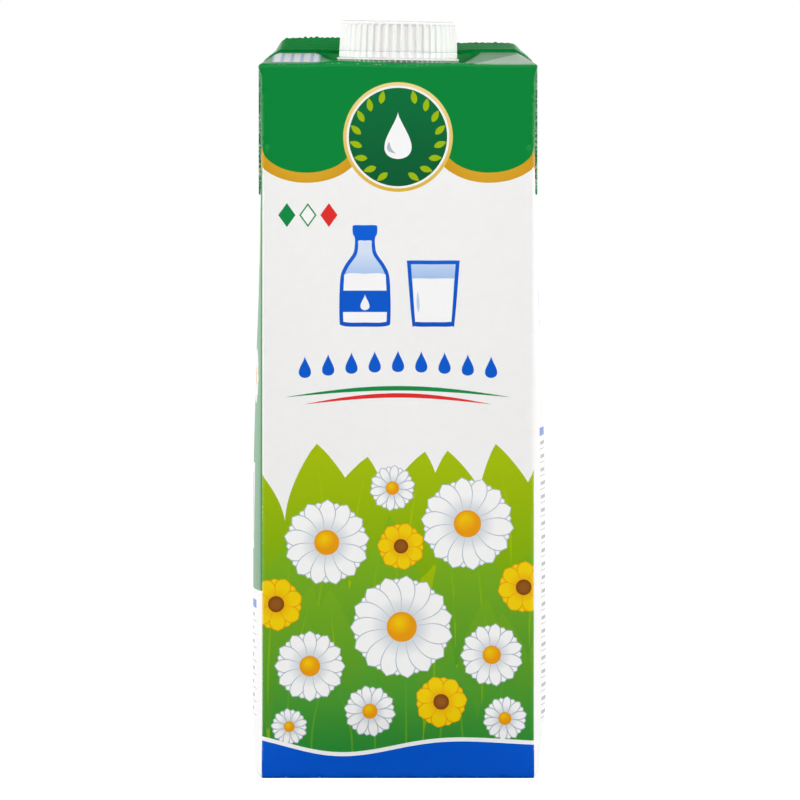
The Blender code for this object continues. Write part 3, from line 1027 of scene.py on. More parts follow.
@dataclass(frozen=True)
class Badge:
    """A round badge on the field: a drop of milk in a wreath of leaves."""

    height: float = 171.0
    radius: float = 14.6
    rim: float = 0.9
    ring: float = 1.5
    leaves: int = 8
    leaf_inset: float = 4.7
    leaf_long: float = 3.6
    leaf_wide: float = 1.7
    leaf_lean: float = math.radians(38)
    first_degrees: float = -74.0
    pitch_degrees: float = 19.5
    drop_high: float = 12.5
    drop_wide: float = 8.6

    def show(self, sleeve: Sleeve, middle: float) -> None:
        """Print it on the panel with that middle.

        Args:
            sleeve: The sleeve to print.
            middle: The panel's middle, as the way round.
        """
        centre = np.array([middle, self.height])
        r = self.radius
        shaded = level(self.height - r, self.height + r)
        sleeve.around(disc(centre, r), Ink.PALE_GOLD, shaded)
        sleeve.around(disc(centre, r - self.rim), Ink.WHITE, 0.6)
        sleeve.around(disc(centre, r - self.ring), Ink.BADGE_GREEN, shaded)
        for side in (-1, 1):
            for step in range(self.leaves):
                angle = math.radians(self.first_degrees + self.pitch_degrees * step)
                way = np.array([side * math.cos(angle), math.sin(angle)])
                stem = centre + (r - self.leaf_inset) * way
                lean = angle + self.leaf_lean
                tip = stem + self.leaf_long * np.array([side * math.cos(lean), math.sin(lean)])
                sleeve.around(leaf(stem, tip, self.leaf_wide, steps=8), Ink.LIME, 0.75)
        sleeve.around(drop(centre + (0, 0.4), self.drop_high, self.drop_wide), Ink.WHITE, 0.9)
        shine = leaf(centre + (-2.4, -1.2), centre + (-0.6, -4.4), 1.1, -0.9, steps=8)
        sleeve.around(shine, Ink.PETAL, 0.0)


@dataclass(frozen=True)
class Lozenges:
    """Three small lozenges in a row: green, outlined white and red."""

    x: float = -24.0
    height: float = 150.2
    spacing: float = 5.6
    half_wide: float = 2.3
    half_high: float = 3.2
    white_share: float = 0.8

    def show(self, sleeve: Sleeve, middle: float) -> None:
        """Print them on the panel with that middle.

        Args:
            sleeve: The sleeve to print.
            middle: The panel's middle, as the way round.
        """
        wide, high = self.half_wide, self.half_high
        rhomb = np.array([[0, -high], [wide, 0], [0, high], [-wide, 0]])
        for at, ink in enumerate((Ink.FLAG_GREEN, Ink.WHITE, Ink.RED)):
            centre = np.array([middle + self.x + self.spacing * (at - 1), self.height])
            sleeve.around(centre + rhomb, Ink.FLAG_GREEN if ink is Ink.WHITE else ink)
            if ink is Ink.WHITE:
                sleeve.around(centre + rhomb * self.white_share, Ink.WHITE, 0.8)


@dataclass(frozen=True)
class Vessel:
    """A drawn vessel, by half profiles of (half width, height) from its top to its foot."""

    place: float
    outer: tuple[tuple[float, float], ...]
    inner: tuple[tuple[float, float], ...]
    milk: tuple[tuple[float, float], ...]


@dataclass(frozen=True)
class Vessels:
    """A bottle with a label and a tumbler of milk, drawn in plain blue."""

    bottle: Vessel = Vessel(
        -8.8,
        outer=((0, 27), (2.9, 27), (3.3, 26.2), (3.2, 24.7), (2.7, 23.6), (2.7, 21.6), (3.2, 19.4),
               (5.5, 16.0), (6.6, 12.4), (6.8, 2.2), (5.8, 0.2), (0, 0)),
        inner=((0, 22.9), (1.7, 22.9), (1.8, 21.4), (2.3, 19.0), (4.6, 15.6), (5.6, 12.2),
               (5.8, 2.6), (5.0, 1.2), (0, 1.1)),
        milk=((0, 14.1), (4.9, 14.1), (5.6, 12.2), (5.8, 2.6), (5.0, 1.2), (0, 1.1)),
    )
    tumbler: Vessel = Vessel(
        9.4,
        outer=((0, 17.6), (6.9, 17.6), (7.0, 17.1), (5.7, 1.4), (4.9, 0.1), (0, 0)),
        inner=((0, 16.6), (5.8, 16.6), (5.9, 16.1), (4.9, 2.4), (4.3, 1.3), (0, 1.2)),
        milk=((0, 12.8), (5.5, 12.8), (5.5, 12.0), (4.9, 2.4), (4.3, 1.3), (0, 1.2)),
    )
    foot: float = 120.5
    label_half: float = 6.2
    label_low: float = 3.9
    label_high: float = 9.6

    def show(self, sleeve: Sleeve, middle: float) -> None:
        """Print both on the panel with that middle.

        Args:
            sleeve: The sleeve to print.
            middle: The panel's middle, as the way round.
        """
        for vessel in (self.bottle, self.tumbler):
            x, z = foot = (middle + vessel.place, self.foot)
            sleeve.around(profile(vessel.outer, foot), Ink.WORD_BLUE, level(z, z + 27))
            sleeve.around(profile(vessel.inner, foot), Ink.PALE_BLUE, level(z + 12, z + 20))
            sleeve.around(profile(vessel.milk, foot), Ink.WHITE, 0.9)
            if vessel is self.bottle:
                half = self.label_half
                label = box(x - half, z + self.label_low, x + half, z + self.label_high)
                sleeve.around(label, Ink.WORD_BLUE, 0.4)
                sleeve.around(drop((x, z + 6.5), 4.2, 2.9, 24), Ink.WHITE, 0.6)
            else:
                shine = leaf((x - 3.9, z + 3.6), (x - 4.2, z + 9.4), 0.8, steps=8)
                sleeve.around(shine, Ink.PALE_BLUE)


@dataclass(frozen=True)
class DropsAndRules:
    """A row of blue drops in a low arch, over two tapered rules, green and red."""

    height: float = 103.0
    drops_aside: int = 4
    drop_high: float = 5.8
    drop_wide: float = 3.9
    drop_rise: float = 6.4
    drop_arch: float = 1.9
    drop_spacing: float = 6.2
    rule_sink: float = 1.3
    rule_wide: float = 1.2
    rule_bow: float = 2.4

    def show(self, sleeve: Sleeve, middle: float) -> None:
        """Print them on the panel with that middle.

        Args:
            sleeve: The sleeve to print.
            middle: The panel's middle, as the way round.
        """
        for at in range(-self.drops_aside, self.drops_aside + 1):
            arch = self.drop_arch * math.cos(at * math.pi / (2 * self.drops_aside + 1))
            centre = (middle + self.drop_spacing * at, self.height + self.drop_rise + arch)
            sleeve.around(drop(centre, self.drop_high, self.drop_wide, 24), Ink.WORD_BLUE)
        for lower, ink, half in ((0.0, Ink.FLAG_GREEN, 30.0), (1.9, Ink.RED, 25.0)):
            height = self.height - lower - self.rule_sink
            ends = (middle - half, height), (middle + half, height)
            sleeve.around(leaf(*ends, self.rule_wide, self.rule_bow, 0.5, 40), ink)


@dataclass(frozen=True)
class LeafRow:
    """A row of leaves round the pack: its ink's tone goes from 0 to 1 between two heights."""

    count: int
    root: float
    tip: float
    width: float
    ink: Ink
    tone_low: float
    tone_high: float
# Not an ink of the print: a pale sage painted on the top's right corner as glare, the backdrop's reflection
# there


class Bloom(Enum):
    """Kinds of flower: white with a golden eye, or yellow with a brown one."""

    DAISY = "daisy"
    BLOSSOM = "blossom"


@dataclass(frozen=True)
class Flower:
    """A flower of the print, its centre measured from its panel's middle and foot."""

    bloom: Bloom
    x: float
    z: float
    radius: float
    petals: int
    turn: float


@dataclass(frozen=True)
class Meadow:
    """Rows of broad leaves round the lower part, pale behind and dark in front, and flowers."""

    low: float = 3.0
    high: float = 64.0
    rows: tuple[LeafRow, ...] = (
        LeafRow(22, 52.0, 87.5, 19.0, Ink.LIME, 52.0, 86.0),
        LeafRow(26, 30.0, 67.0, 14.5, Ink.MEADOW, 30.0, 62.0),
        LeafRow(30, 13.0, 49.0, 12.5, Ink.MEADOW, 22.0, 58.0),
        LeafRow(36, 0.0, 31.0, 10.5, Ink.LEAF, 4.0, 32.0),
    )
    broad_flowers: tuple[Flower, ...] = (
        Flower(Bloom.BLOSSOM, -32.5, 46.5, 7.2, 7, 0.3), Flower(Bloom.BLOSSOM, 33.5, 51.0, 7.0, 7, 0.6),
        Flower(Bloom.BLOSSOM, 11.5, 20.5, 7.0, 7, 0.1), Flower(Bloom.BLOSSOM, 0.8, 62.0, 6.4, 7, 0.4),
        Flower(Bloom.DAISY, -19.0, 63.0, 11.5, 13, 0.1), Flower(Bloom.DAISY, 18.5, 68.0, 12.5, 14, 0.35),
        Flower(Bloom.DAISY, 1.0, 40.5, 13.8, 15, 0.22), Flower(Bloom.DAISY, -23.5, 30.0, 9.5, 12, 0.0),
        Flower(Bloom.DAISY, 25.0, 33.0, 8.5, 11, 0.3), Flower(Bloom.DAISY, -7.5, 18.0, 7.0, 10, 0.5),
        Flower(Bloom.DAISY, -1.5, 77.5, 6.2, 10, 0.2), Flower(Bloom.DAISY, 28.5, 16.0, 6.0, 10, 0.2),
        Flower(Bloom.DAISY, -29.0, 13.8, 5.0, 9, 0.3),
    )
    side_flowers: tuple[Flower, ...] = (
        Flower(Bloom.DAISY, -2.0, 124.0, 14.5, 15, 0.2), Flower(Bloom.DAISY, 19.0, 107.0, 8.0, 11, 0.5),
        Flower(Bloom.BLOSSOM, -21.0, 104.0, 7.0, 7, 0.3), Flower(Bloom.BLOSSOM, 21.5, 141.0, 5.5, 7, 0.1),
    )
    seed: int = 11

    def leaves(self, sleeve: Sleeve) -> None:
        """Print the rows of leaves, each leaf with a thin rib.

        Args:
            sleeve: The sleeve to print.
        """
        draw = random.Random(self.seed)
        girth = sleeve.shape.girth
        ground = box(-girth, self.low, 2 * girth, self.high)
        sleeve.around(ground, Ink.LIME, level(8, self.high + 2))
        for row in self.rows:
            for at in range(row.count):
                place = girth * (at + 0.5 * draw.random()) / row.count
                tall = row.tip + draw.uniform(-5.0, 3.5)
                lean = draw.uniform(-5.0, 5.0)
                wide = row.width * draw.uniform(0.85, 1.1)
                blade = leaf((place, row.root), (place + lean, tall), wide, lean * 0.3, 0.42, 20)
                sleeve.around(blade, row.ink, level(row.tone_low, row.tone_high))
                vein = (place + lean * 0.86, row.root + (tall - row.root) * 0.88)
                rib = leaf((place, row.root + 4), vein, 0.55, lean * 0.3, 0.4, 12)
                sleeve.around(rib, row.ink, level(row.tone_low - 14, row.tone_high - 22))

    def petals(self, sleeve: Sleeve, centre: Points, flower: Flower, ink: Ink, share: float) -> None:
        """Print two rings of petals, each petal edged in its ink's darker tone.

        Args:
            sleeve: The sleeve.
            centre: The flower's centre on it.
            flower: The flower.
            ink: The petals' ink.
            share: A petal's width as a share of the flower's radius.
        """
        radius = flower.radius
        for ring, reach in ((0.5, 0.95), (0.0, 1.0)):
            for at in range(flower.petals):
                angle = flower.turn + TURN * (at + ring) / flower.petals
                way = np.array([math.cos(angle), math.sin(angle)])
                root, tip = centre + way * radius * 0.14, centre + way * radius * reach
                wide = radius * share
                sleeve.around(leaf(root, tip, wide, 0.0, 0.64, 12, 0.55), ink, 0.0)
                lit = round_about(centre, radius * (0.05 + 0.3 * ring), radius * 0.62)
                inner = leaf(root, tip - way * 0.22, wide - 0.5, 0.0, 0.64, 12, 0.55)
                sleeve.around(inner, ink, lit)

    def flowers(self, sleeve: Sleeve, middle: float, flowers: Sequence[Flower]) -> None:
        """Print flowers on the panel with that middle.

        Args:
            sleeve: The sleeve to print.
            middle: The panel's middle, as the way round.
            flowers: The flowers, the undermost first.
        """
        for flower in flowers:
            centre = np.array([middle + flower.x, flower.z])
            r = flower.radius
            if flower.bloom is Bloom.DAISY:
                self.petals(sleeve, centre, flower, Ink.PETAL, 0.40)
                sleeve.around(disc(centre, r * 0.29, 40), Ink.SUN, 0.0)
                glow = centre + np.array([-0.05, 0.08]) * r
                sleeve.around(disc(centre, r * 0.255, 40), Ink.SUN, round_about(glow, r * 0.24, 0.0))
            else:
                self.petals(sleeve, centre, flower, Ink.SUN, 0.62)
                sleeve.around(disc(centre, r * 0.30, 32), Ink.BROWN, round_about(centre, r * 0.3, 0.0))


@dataclass(frozen=True)
class FactsTable:
    """A side panel's white block up to a height, with a blank ruled table."""

    top: float
    margin: float = 9.0
    head: float = 5.0
    bar: float = 2.2
    foot: float = 14.0
    row: float = 3.6
    line: float = 0.18
    entry_low: float = 2.4
    entry_high: float = 1.5

    def show(self, sleeve: Sleeve, middle: float, half: float) -> None:
        """Print it on the panel with that middle and half width.

        Args:
            sleeve: The sleeve to print.
            middle: The panel's middle, as the way round.
            half: Half the panel's width.
        """
        sleeve.around(box(middle - half, -1.0, middle + half, self.top), Ink.WHITE)
        left, right = middle - half + self.margin, middle + half - self.margin
        head = self.top - self.head
        sleeve.around(box(left, head, right, head + self.bar), Ink.WORD_BLUE)
        for row in range(int((head - self.foot) / self.row)):
            height = head - self.row * row
            line = box(left, height - self.row, right, height - self.row + self.line)
            sleeve.around(line, Ink.RULE_GREY)
            for start, end in ((1.5, 20.0 - 3.0 * (row % 3)), (38.0, 46.0 - 2.0 * (row % 2))):
                entry = box(left + start, height - self.entry_low, left + end, height - self.entry_high)
                sleeve.around(entry, Ink.RULE_GREY)


@dataclass(frozen=True)
class CodeBars:
    """A block of upright bars, as a packet's code has, in no real sequence."""

    foot: float = 63.0
    half: float = 14.0
    high: float = 18.0
    side_margin: float = 3.0
    margin: float = 2.5
    bar: float = 0.33
    seed: int = 12

    def show(self, sleeve: Sleeve, middle: float) -> None:
        """Print it on the panel with that middle.

        Args:
            sleeve: The sleeve to print.
            middle: The panel's middle, as the way round.
        """
        draw = random.Random(self.seed)
        side = self.half + self.side_margin
        low, high = self.foot, self.foot + self.high
        sleeve.around(box(middle - side, low - self.margin, middle + side, high + self.margin), Ink.WHITE)
        at = middle - self.half
        while at < middle + self.half - 1.0:
            wide = self.bar * draw.choice((1, 1, 2, 3))
            sleeve.around(box(at, low, at + wide, high), Ink.KEY)
            at += wide + self.bar * draw.choice((1, 1, 2, 3))


@dataclass(frozen=True)
class BlueFoot:
    """The blue band round the foot, its upper edge in low waves under a white line."""

    high: float = 8.4
    wave: float = 1.9
    ripple: float = 0.8
    line: float = 1.1
    bleed: float = 6.0
    steps: int = 720

    def show(self, sleeve: Sleeve) -> None:
        """Print it round the foot.

        Args:
            sleeve: The sleeve to print.
        """
        girth = sleeve.shape.girth
        u = np.linspace(-girth, 2 * girth, self.steps)
        turn = TURN * u / girth
        edge = self.high + (self.wave * np.sin(4 * turn - 0.6) + self.ripple * np.sin(6 * turn + 0.9))
        under = [[2 * girth, -self.bleed], [-girth, -self.bleed]]
        blue = level(0.0, 14.0)
        for rise, ink, tone in ((self.line, Ink.WHITE, 0.9), (0.0, Ink.BAND_BLUE, blue)):
            sleeve.sheet.add(np.vstack([np.column_stack([u, edge + rise]), under]), ink, tone)


@dataclass
class SleevePrint:
    """The print that runs round the four walls: fields of colour and plain motifs."""

    sleeve: Sleeve
    valance: Valance = Valance()
    badge: Badge = Badge()
    lozenges: Lozenges = Lozenges()
    vessels: Vessels = Vessels()
    rules: DropsAndRules = DropsAndRules()
    meadow: Meadow = Meadow()
    foot: BlueFoot = BlueFoot()
    left_table: FactsTable = FactsTable(50.0)
    right_table: FactsTable = FactsTable(96.0)
    code: CodeBars = CodeBars()

    def draw(self) -> None:
        """Print the whole sleeve, in the order in which one ink covers another."""
        sleeve = self.sleeve
        left, front, right, back = sleeve.panels()
        self.meadow.leaves(sleeve)
        for middle, _ in (front, back):
            self.meadow.flowers(sleeve, middle, self.meadow.broad_flowers)
        self.foot.show(sleeve)
        for (middle, half), ink in ((left, Ink.FLAG_GREEN), (right, Ink.WHITE)):
            panel = box(middle - half, 0.0, middle + half, self.valance.low + 4.0)
            sleeve.around(panel, ink, level(50, 150))
        self.left_table.show(sleeve, *left)
        self.right_table.show(sleeve, *right)
        self.code.show(sleeve, left[0])
        self.meadow.flowers(sleeve, left[0], self.meadow.side_flowers)
        self.valance.show(sleeve)
        for middle, _ in (front, right, back):
            self.vessels.show(sleeve, middle)
        for middle, _ in (front, back):
            self.badge.show(sleeve, middle)
            self.lozenges.show(sleeve, middle)
            self.rules.show(sleeve, middle)


@dataclass(frozen=True)
class TopPrint:
    """The top's print: a pale sage corner at the right, which is painted glare standing in for the
    backdrop's reflection on that slope, and a blank date box at the left.
    """

    glare_left: float = 19.5
    glare_right: float = 34.0
    glare_back: tuple[float, float] = (-1.5, -2.5)
    box_left: float = -33.0
    box_right: float = -20.5
    box_front: float = -30.0
    box_back: float = -5.5
    frame: float = 0.5
    columns: int = 4
    first_column: float = 1.6
    pitch: float = 2.6
    line: float = 0.9

    def show(self, sheet: Sheet, shape: PackShape) -> None:
        """Print it on the top's sheet.

        Args:
            sheet: The top's sheet.
            shape: The pack's sizes.
        """
        front, side = -shape.half_d - 1, shape.half_w + 2
        right_back, left_back = self.glare_back
        # The pale sage corner is painted glare: the bright backdrop's reflection on the top's right slope,
        # laid as one flat colour
        sheet.add(np.array([
            [self.glare_left, front], [side, front], [side, right_back], [self.glare_right, left_back],
        ]), Ink.SAGE, 0.6)
        sheet.add(box(self.box_left, self.box_front, self.box_right, self.box_back), Ink.PALE_BLUE, 0.0)
        left, low = self.box_left + self.frame, self.box_front + self.frame
        right, high = self.box_right - self.frame, self.box_back - self.frame
        sheet.add(box(left, low, right, high), Ink.WHITE, 0.0)
        for column in range(self.columns):
            start = left + self.first_column + self.pitch * column
            sheet.add(box(start, low, start + self.line, high), Ink.PALE_BLUE, 0.0)


@dataclass
class BoardPack:
    """The folded board: the sleeve of four walls, the top, the base and the lap seam's cut edge."""

    shape: PackShape
    fold_reach: float = 1.2
    step: float = 2.4
    near: tuple[float, ...] = (0.25, 0.55, 0.95, 1.4, 2.2, 3.3, 4.8)
    near_base: tuple[float, ...] = (0.0, 0.2, 0.45, 0.8, 1.3, 2.0, 3.0, 4.2)
    near_top: tuple[float, ...] = (0.0, 0.2, 0.45, 0.8, 1.2, 1.8, 2.6, 3.5, 4.6, 5.8, 7.2)
    ear_lines: tuple[float, ...] = (0.0, 0.05, 0.18)
    ear_line_points: int = 61
    seam_rise: float = 1.6
    lap_fade: float = 2.0
    lap_inset: float = 0.3
    lap_under: float = 0.02
    lap_points: int = 120
    pocket_wall: float = 0.12
    base_bleed: float = 5.0
    bleed: float = 60.0

    def across(self) -> list[float]:
        """Lines across the broad panels.

        Returns:
            The lines, from left to right.
        """
        s = self.shape
        seat = [side * reach for side in (-1, 1) for reach in (s.seat_half, s.seat_half + s.seat_blend)]
        return graded(s.half_w, self.near, self.step, seat)

    def deep(self) -> list[float]:
        """Lines across the side panels."""
        return graded(self.shape.half_d, self.near, self.step, (0.0, self.shape.seat_back))

    def seam_at(self) -> float:
        """The lap seam's cut edge, as the way round from the middle of the front."""
        s = self.shape
        return s.width + s.depth - s.seam_from

    def lap_height(self, v: np.ndarray) -> np.ndarray:
        """How far the lap stands out at a height: one ply, less at the folds of top and base."""
        high, fade = self.shape.height, self.lap_fade
        return self.shape.ply * smoothstep(0.0, fade, v) * smoothstep(high, high - fade, v)

    def sleeve(self) -> Sheet:
        """The walls' sheet, cut at the lap seam.

        Returns:
            The sheet, without print.
        """
        s = self.shape
        end = self.seam_at()
        start = end - s.girth
        columns = {round(start, 4), round(end, 4), round(end - s.seam_width, 4)}
        for middle, lines in (
            (0.0, self.across()), (s.width + s.depth, self.across()), (-(s.width + s.depth), self.across()),
            ((s.width + s.depth) / 2, self.deep()), (-(s.width + s.depth) / 2, self.deep()),
        ):
            columns |= {round(middle + line, 4) for line in lines if start < middle + line < end}
        low, high = self.near_base, [s.height - gap for gap in self.near_top]
        count = round((min(high) - max(low)) / self.step)
        middle = np.linspace(max(low), min(high), count, endpoint=False)[1:]
        sheet = Sheet((start, 0.0), (end, s.height), sorted(columns), [*low, *middle, *reversed(high)])
        for centre in (-(s.width + s.depth) / 2, (s.width + s.depth) / 2):
            for inset in (*self.ear_lines, s.ear_fold):
                foot = s.height - s.ear_length + inset * math.sqrt(2)
                reach = s.height - foot
                t = np.linspace(-1.0, 1.0, self.ear_line_points)[:, None]
                sheet.creases.append(np.hstack([centre + t * reach, foot + np.abs(t) * reach]))
        return sheet

    def place_wall(self, points: Points) -> Points:
        """Press points of the sleeve.

        Args:
            points: Points of the sheet, one row each.

        Returns:
            Their places on the pack.
        """
        s = self.shape
        start = self.seam_at() - s.seam_width
        lap = self.lap_height(points[:, 1]) * smoothstep(start - self.seam_rise, start, points[:, 0])
        return s.pressed(s.wall(points[:, 0], points[:, 1]), lap)

    def wall_fold(self, points: Points) -> np.ndarray:
        """How near a fold points of the sleeve are.

        Args:
            points: Points of the sheet, one row each.

        Returns:
            1 on a fold, down to 0 away from it.
        """
        s = self.shape
        u, v = points.T
        phase = (u + s.half_w) % (s.width + s.depth)
        upright = np.minimum(np.minimum(phase, np.abs(phase - s.width)), s.width + s.depth - phase)
        away = np.minimum(np.minimum(upright, v), s.height - v)
        return np.clip(1.0 - away / self.fold_reach, 0.0, 1.0)

    def flat_fold(self, points: Points) -> np.ndarray:
        """How near the rim points of the top or base are.

        Args:
            points: Points of the sheet, one row each.

        Returns:
            1 on the rim, down to 0 away from it.
        """
        s = self.shape
        away = np.minimum(s.half_w - np.abs(points[:, 0]), s.half_d - np.abs(points[:, 1]))
        return np.clip(1.0 - away / self.fold_reach, 0.0, 1.0)

    def top(self) -> Sheet:
        """The top's sheet: green, with its print.

        Returns:
            The sheet.
        """
        s = self.shape
        sheet = Sheet((-s.half_w, -s.half_d), (s.half_w, s.half_d), self.across(), self.deep())
        sheet.add(box(-self.bleed, -self.bleed, self.bleed, self.bleed), Ink.DEEP_GREEN)
        TopPrint().show(sheet, s)
        return sheet

    def place_top(self, points: Points) -> Points:
        """Press points of the top."""
        flat = np.column_stack([points, np.full(len(points), self.shape.height)])
        return self.shape.pressed(flat)

    def pocket(self, inset: float) -> Points:
        """The hourglass hollow between the rim and the two ears folded under the base.

        Args:
            inset: How far inside the hollow's edge.

        Returns:
            The outline, one point a row.
        """
        s = self.shape
        reach = s.half_d - s.rim - inset
        gap = s.apex_gap - inset
        return np.array([[-reach - gap, -reach], [reach + gap, -reach], [gap, 0.0],
                         [reach + gap, reach], [-reach - gap, reach], [-gap, 0.0]])

    def base(self) -> Sheet:
        """The base's sheet: white board, with the blue band's bleed round its rim.

        Returns:
            The sheet.
        """
        s = self.shape
        sheet = Sheet((-s.half_w, -s.half_d), (s.half_w, s.half_d), self.across(), self.deep())
        sheet.add(box(-self.bleed, -self.bleed, self.bleed, self.bleed), Ink.BAND_BLUE, 0.6)
        inner = (s.half_w - self.base_bleed, s.half_d - s.rim)
        sheet.add(box(-inner[0], -inner[1], inner[0], inner[1]), Ink.WHITE, 0.3)
        for inset in (0.0, self.pocket_wall):
            outline = self.pocket(inset)
            sheet.creases.append(sheet.dense(np.vstack([outline, outline[:1]]))[:-1])
        return sheet

    def place_base(self, points: Points) -> Points:
        """Press points of the base, with its hollow and the bottom seal's flattened fin.

        Args:
            points: Points of the sheet, one row each.

        Returns:
            Their places on the pack.
        """
        s = self.shape
        pressed = s.pressed(np.column_stack([points, np.zeros(len(points))]))
        x, y = np.abs(points.T)
        inside = np.minimum(s.half_d - s.rim - y, (s.apex_gap + y - x) / math.sqrt(2))
        pressed[:, 2] += s.recess * smoothstep(0.0, self.pocket_wall, inside)
        return pressed

    def lap_edge(self, skin: Skin) -> None:
        """The lap seam's cut edge down the back: a thin face of bare board.

        Args:
            skin: The skin that it is added to.
        """
        s = self.shape
        v = np.linspace(self.lap_inset, s.height - self.lap_inset, self.lap_points)
        flat = s.wall(np.full_like(v, self.seam_at()), v)
        outer = s.pressed(flat, self.lap_height(v))
        inner = s.pressed(flat, -self.lap_under)
        count = len(v)
        quads = np.arange(count - 1)
        faces = np.vstack([
            np.column_stack([quads, quads + count, quads + 1]),
            np.column_stack([quads + 1, quads + count, quads + count + 1]),
        ])
        slots = np.full(len(faces), skin.slot(BoardCore()))
        skin.add(np.vstack([outer, inner]), faces, slots, np.zeros((len(faces), 3)), np.zeros(2 * count))

    def build(self) -> bpy.types.Object:
        """Make the printed, folded board pack.

        Returns:
            The piece.
        """
        skin = Skin("board_pack")
        sleeve = self.sleeve()
        SleevePrint(Sleeve(self.shape, sleeve)).draw()
        skin.add_sheet(sleeve, self.place_wall, self.wall_fold)
        skin.add_sheet(self.top(), self.place_top, self.flat_fold)
        skin.add_sheet(self.base(), self.place_base, self.flat_fold, flip=True)
        self.lap_edge(skin)
        return skin.build()


@dataclass
class SealFin:
    """The top seal's fin: two plies of board, crimped in lines, cut in teeth and folded back."""

    shape: PackShape
    width: float = 7.7
    ply: float = 0.62
    root: float = 0.5
    half_top: float = 33.4
    flat_left: float = 34.2
    flat_right: float = 35.4
    standing: float = 29.4
    blend: float = 7.8
    lean_left: float = math.radians(28.0)
    lean_right: float = math.radians(15.0)
    lean_side: float = math.radians(0.8)
    lean_fall: float = 0.25
    proud: float = 0.33
    bend_fall: float = 1.25
    bend_bow: float = 0.5
    bend_steps: int = 24
    past_ear: float = 0.6
    tooth: float = 1.55
    tooth_deep: float = 0.75
    curl: float = 0.35
    crimps: float = 4.5
    crimp_high: float = 0.05
    top_steps: int = 22
    root_under: float = 0.3
    station: float = 0.26
    root_wear: float = 1.15
    ink_tone: float = 0.3
    sharp_degrees: float = 38.0
    seed: int = 5

    def lean_at(self, x: np.ndarray, side: int) -> np.ndarray:
        """The fin's lean along one half: up off the top, and flat where it is folded.

        Args:
            x: Places from left to right.
            side: -1 for the left half and 1 for the right.

        Returns:
            The lean at each place, in radians.
        """
        reach = np.abs(x)
        full, flat = (self.lean_right, self.flat_right) if side > 0 else (self.lean_left, self.flat_left)
        standing = smoothstep(flat, self.standing, reach)
        standing = standing * (1.0 - self.lean_fall * (reach / self.half_top) ** 2)
        middle = (self.lean_left + self.lean_right) / 2
        lean = middle + (full - middle) * np.clip(reach / self.blend, 0.0, 1.0)
        return self.lean_side + (lean - self.lean_side) * standing

    def half_route(self, side: int) -> tuple[Points, Points, np.ndarray]:
        """The fin's way from the middle of the top to one ear's tip.

        Args:
            side: -1 for the left ear and 1 for the right.

        Returns:
            Root points, the board's outward normals there, and the fin's lean.
        """
        reach = np.arange(0.0, self.half_top, self.station)
        ridge = np.column_stack([side * reach, 0 * reach, 0 * reach + self.shape.height])
        crest = self.shape.pressed(ridge)
        start, face = crest[-1], self.shape.half_w + self.proud
        drop_to = start[2] - (face - self.half_top) * self.bend_fall
        t = np.linspace(0.0, 1.0, self.bend_steps)[1:]
        angle = t * math.pi / 2
        turned = np.column_stack([side * np.sin(angle), 0 * t, np.cos(angle)])
        chord = start + t[:, None] * (np.array([side * face, 0.0, drop_to]) - start)
        bend = chord + turned * (self.bend_bow * np.sin(math.pi * t))[:, None]
        tip = self.shape.height - self.shape.ear_length - self.past_ear
        heights = np.arange(drop_to - self.station, tip, -self.station)
        down = np.column_stack([np.full_like(heights, side * face), 0 * heights, heights])
        upward = np.tile([0.0, 0.0, 1.0], (len(crest), 1))
        outward = np.tile([float(side), 0.0, 0.0], (len(down), 1))
        lean = np.concatenate([self.lean_at(reach, side), self.lean_at(bend[:, 0], side),
                               np.full(len(down), self.lean_side)])
        return np.vstack([crest, bend, down]), np.vstack([upward, turned, outward]), lean

    def route(self) -> tuple[Points, Points, np.ndarray]:
        """The fin's whole way, from the left ear's tip to the right one's.

        Returns:
            Root points, the board's outward normals there, and the fin's lean.
        """
        left, right = self.half_route(-1), self.half_route(1)
        points, normals, lean = (np.concatenate([a[:0:-1], b]) for a, b in zip(left, right))
        return points, normals, lean

    def teeth(self, count: int) -> tuple[np.ndarray, np.ndarray]:
        """The cut edge: how far it stands back along the fin, and how far its teeth curl up.

        Args:
            count: How many stations the fin has.

        Returns:
            Both at each station.
        """
        draw = random.Random(self.seed)
        along = np.arange(count) * self.station + 0.5 * np.sin(np.arange(count) / 17.0)
        phase = (along / self.tooth) % 1.0
        saw = np.abs(2 * phase - 1.0)
        number = (along / self.tooth).astype(int)
        deep = np.array([draw.uniform(0.25, 1.0) for _ in range(number.max() + 1)])[number]
        bent = np.array([draw.uniform(-0.1, 1.0) ** 3 for _ in range(number.max() + 1)])[number]
        drift = 0.12 * np.sin(along / 9.0) + 0.08 * np.sin(along / 3.7 + 1.0)
        return self.tooth_deep * saw * deep + drift, self.curl * bent * (1.0 - saw)

    def section(self) -> list[tuple[float, float]]:
        """The fin cut across: share of its width and height over the board, crimped on top.

        Returns:
            The corners, from the root over the top and back underneath.
        """
        shares = np.linspace(0.0, 1.0, self.top_steps)
        crimp = self.crimp_high * np.clip(np.sin(TURN * shares * self.crimps), -0.2, 1.0)
        crimp[[0, -1]] = 0.0
        top = [(share, self.ply + lift) for share, lift in zip(shares, crimp)]
        edge = [(1.0, self.ply * 0.5), (1.0, 0.0)]
        return [*top, *edge, (0.85, 0.0), (0.5, 0.0), (0.06, 0.0), (0.0, -self.root)]

    def surface(self, pressed: np.ndarray) -> Points:
        """Every point of the fin, station by station.

        Args:
            pressed: How flat the fin lies at each station, 1 where it is pressed to a side.

        Returns:
            The points in millimetres, one section after another.
        """
        roots, normals, lean = self.route()
        aside = np.array([0.0, 1.0, 0.0])
        along = aside * np.cos(lean)[:, None] + normals * np.sin(lean)[:, None]
        through = -aside * np.sin(lean)[:, None] + normals * np.cos(lean)[:, None]
        back, curl = self.teeth(len(roots))
        curl = curl * (1.0 - pressed)
        reach = self.width - back
        columns = []
        for share, height in self.section():
            out = (share * (reach + self.root_under) - self.root_under)[:, None]
            lift = (height + curl * smoothstep(0.8, 1.0, share))[:, None]
            columns.append(roots + along * out + through * lift)
        return np.stack(columns, axis=1).reshape(-1, 3)

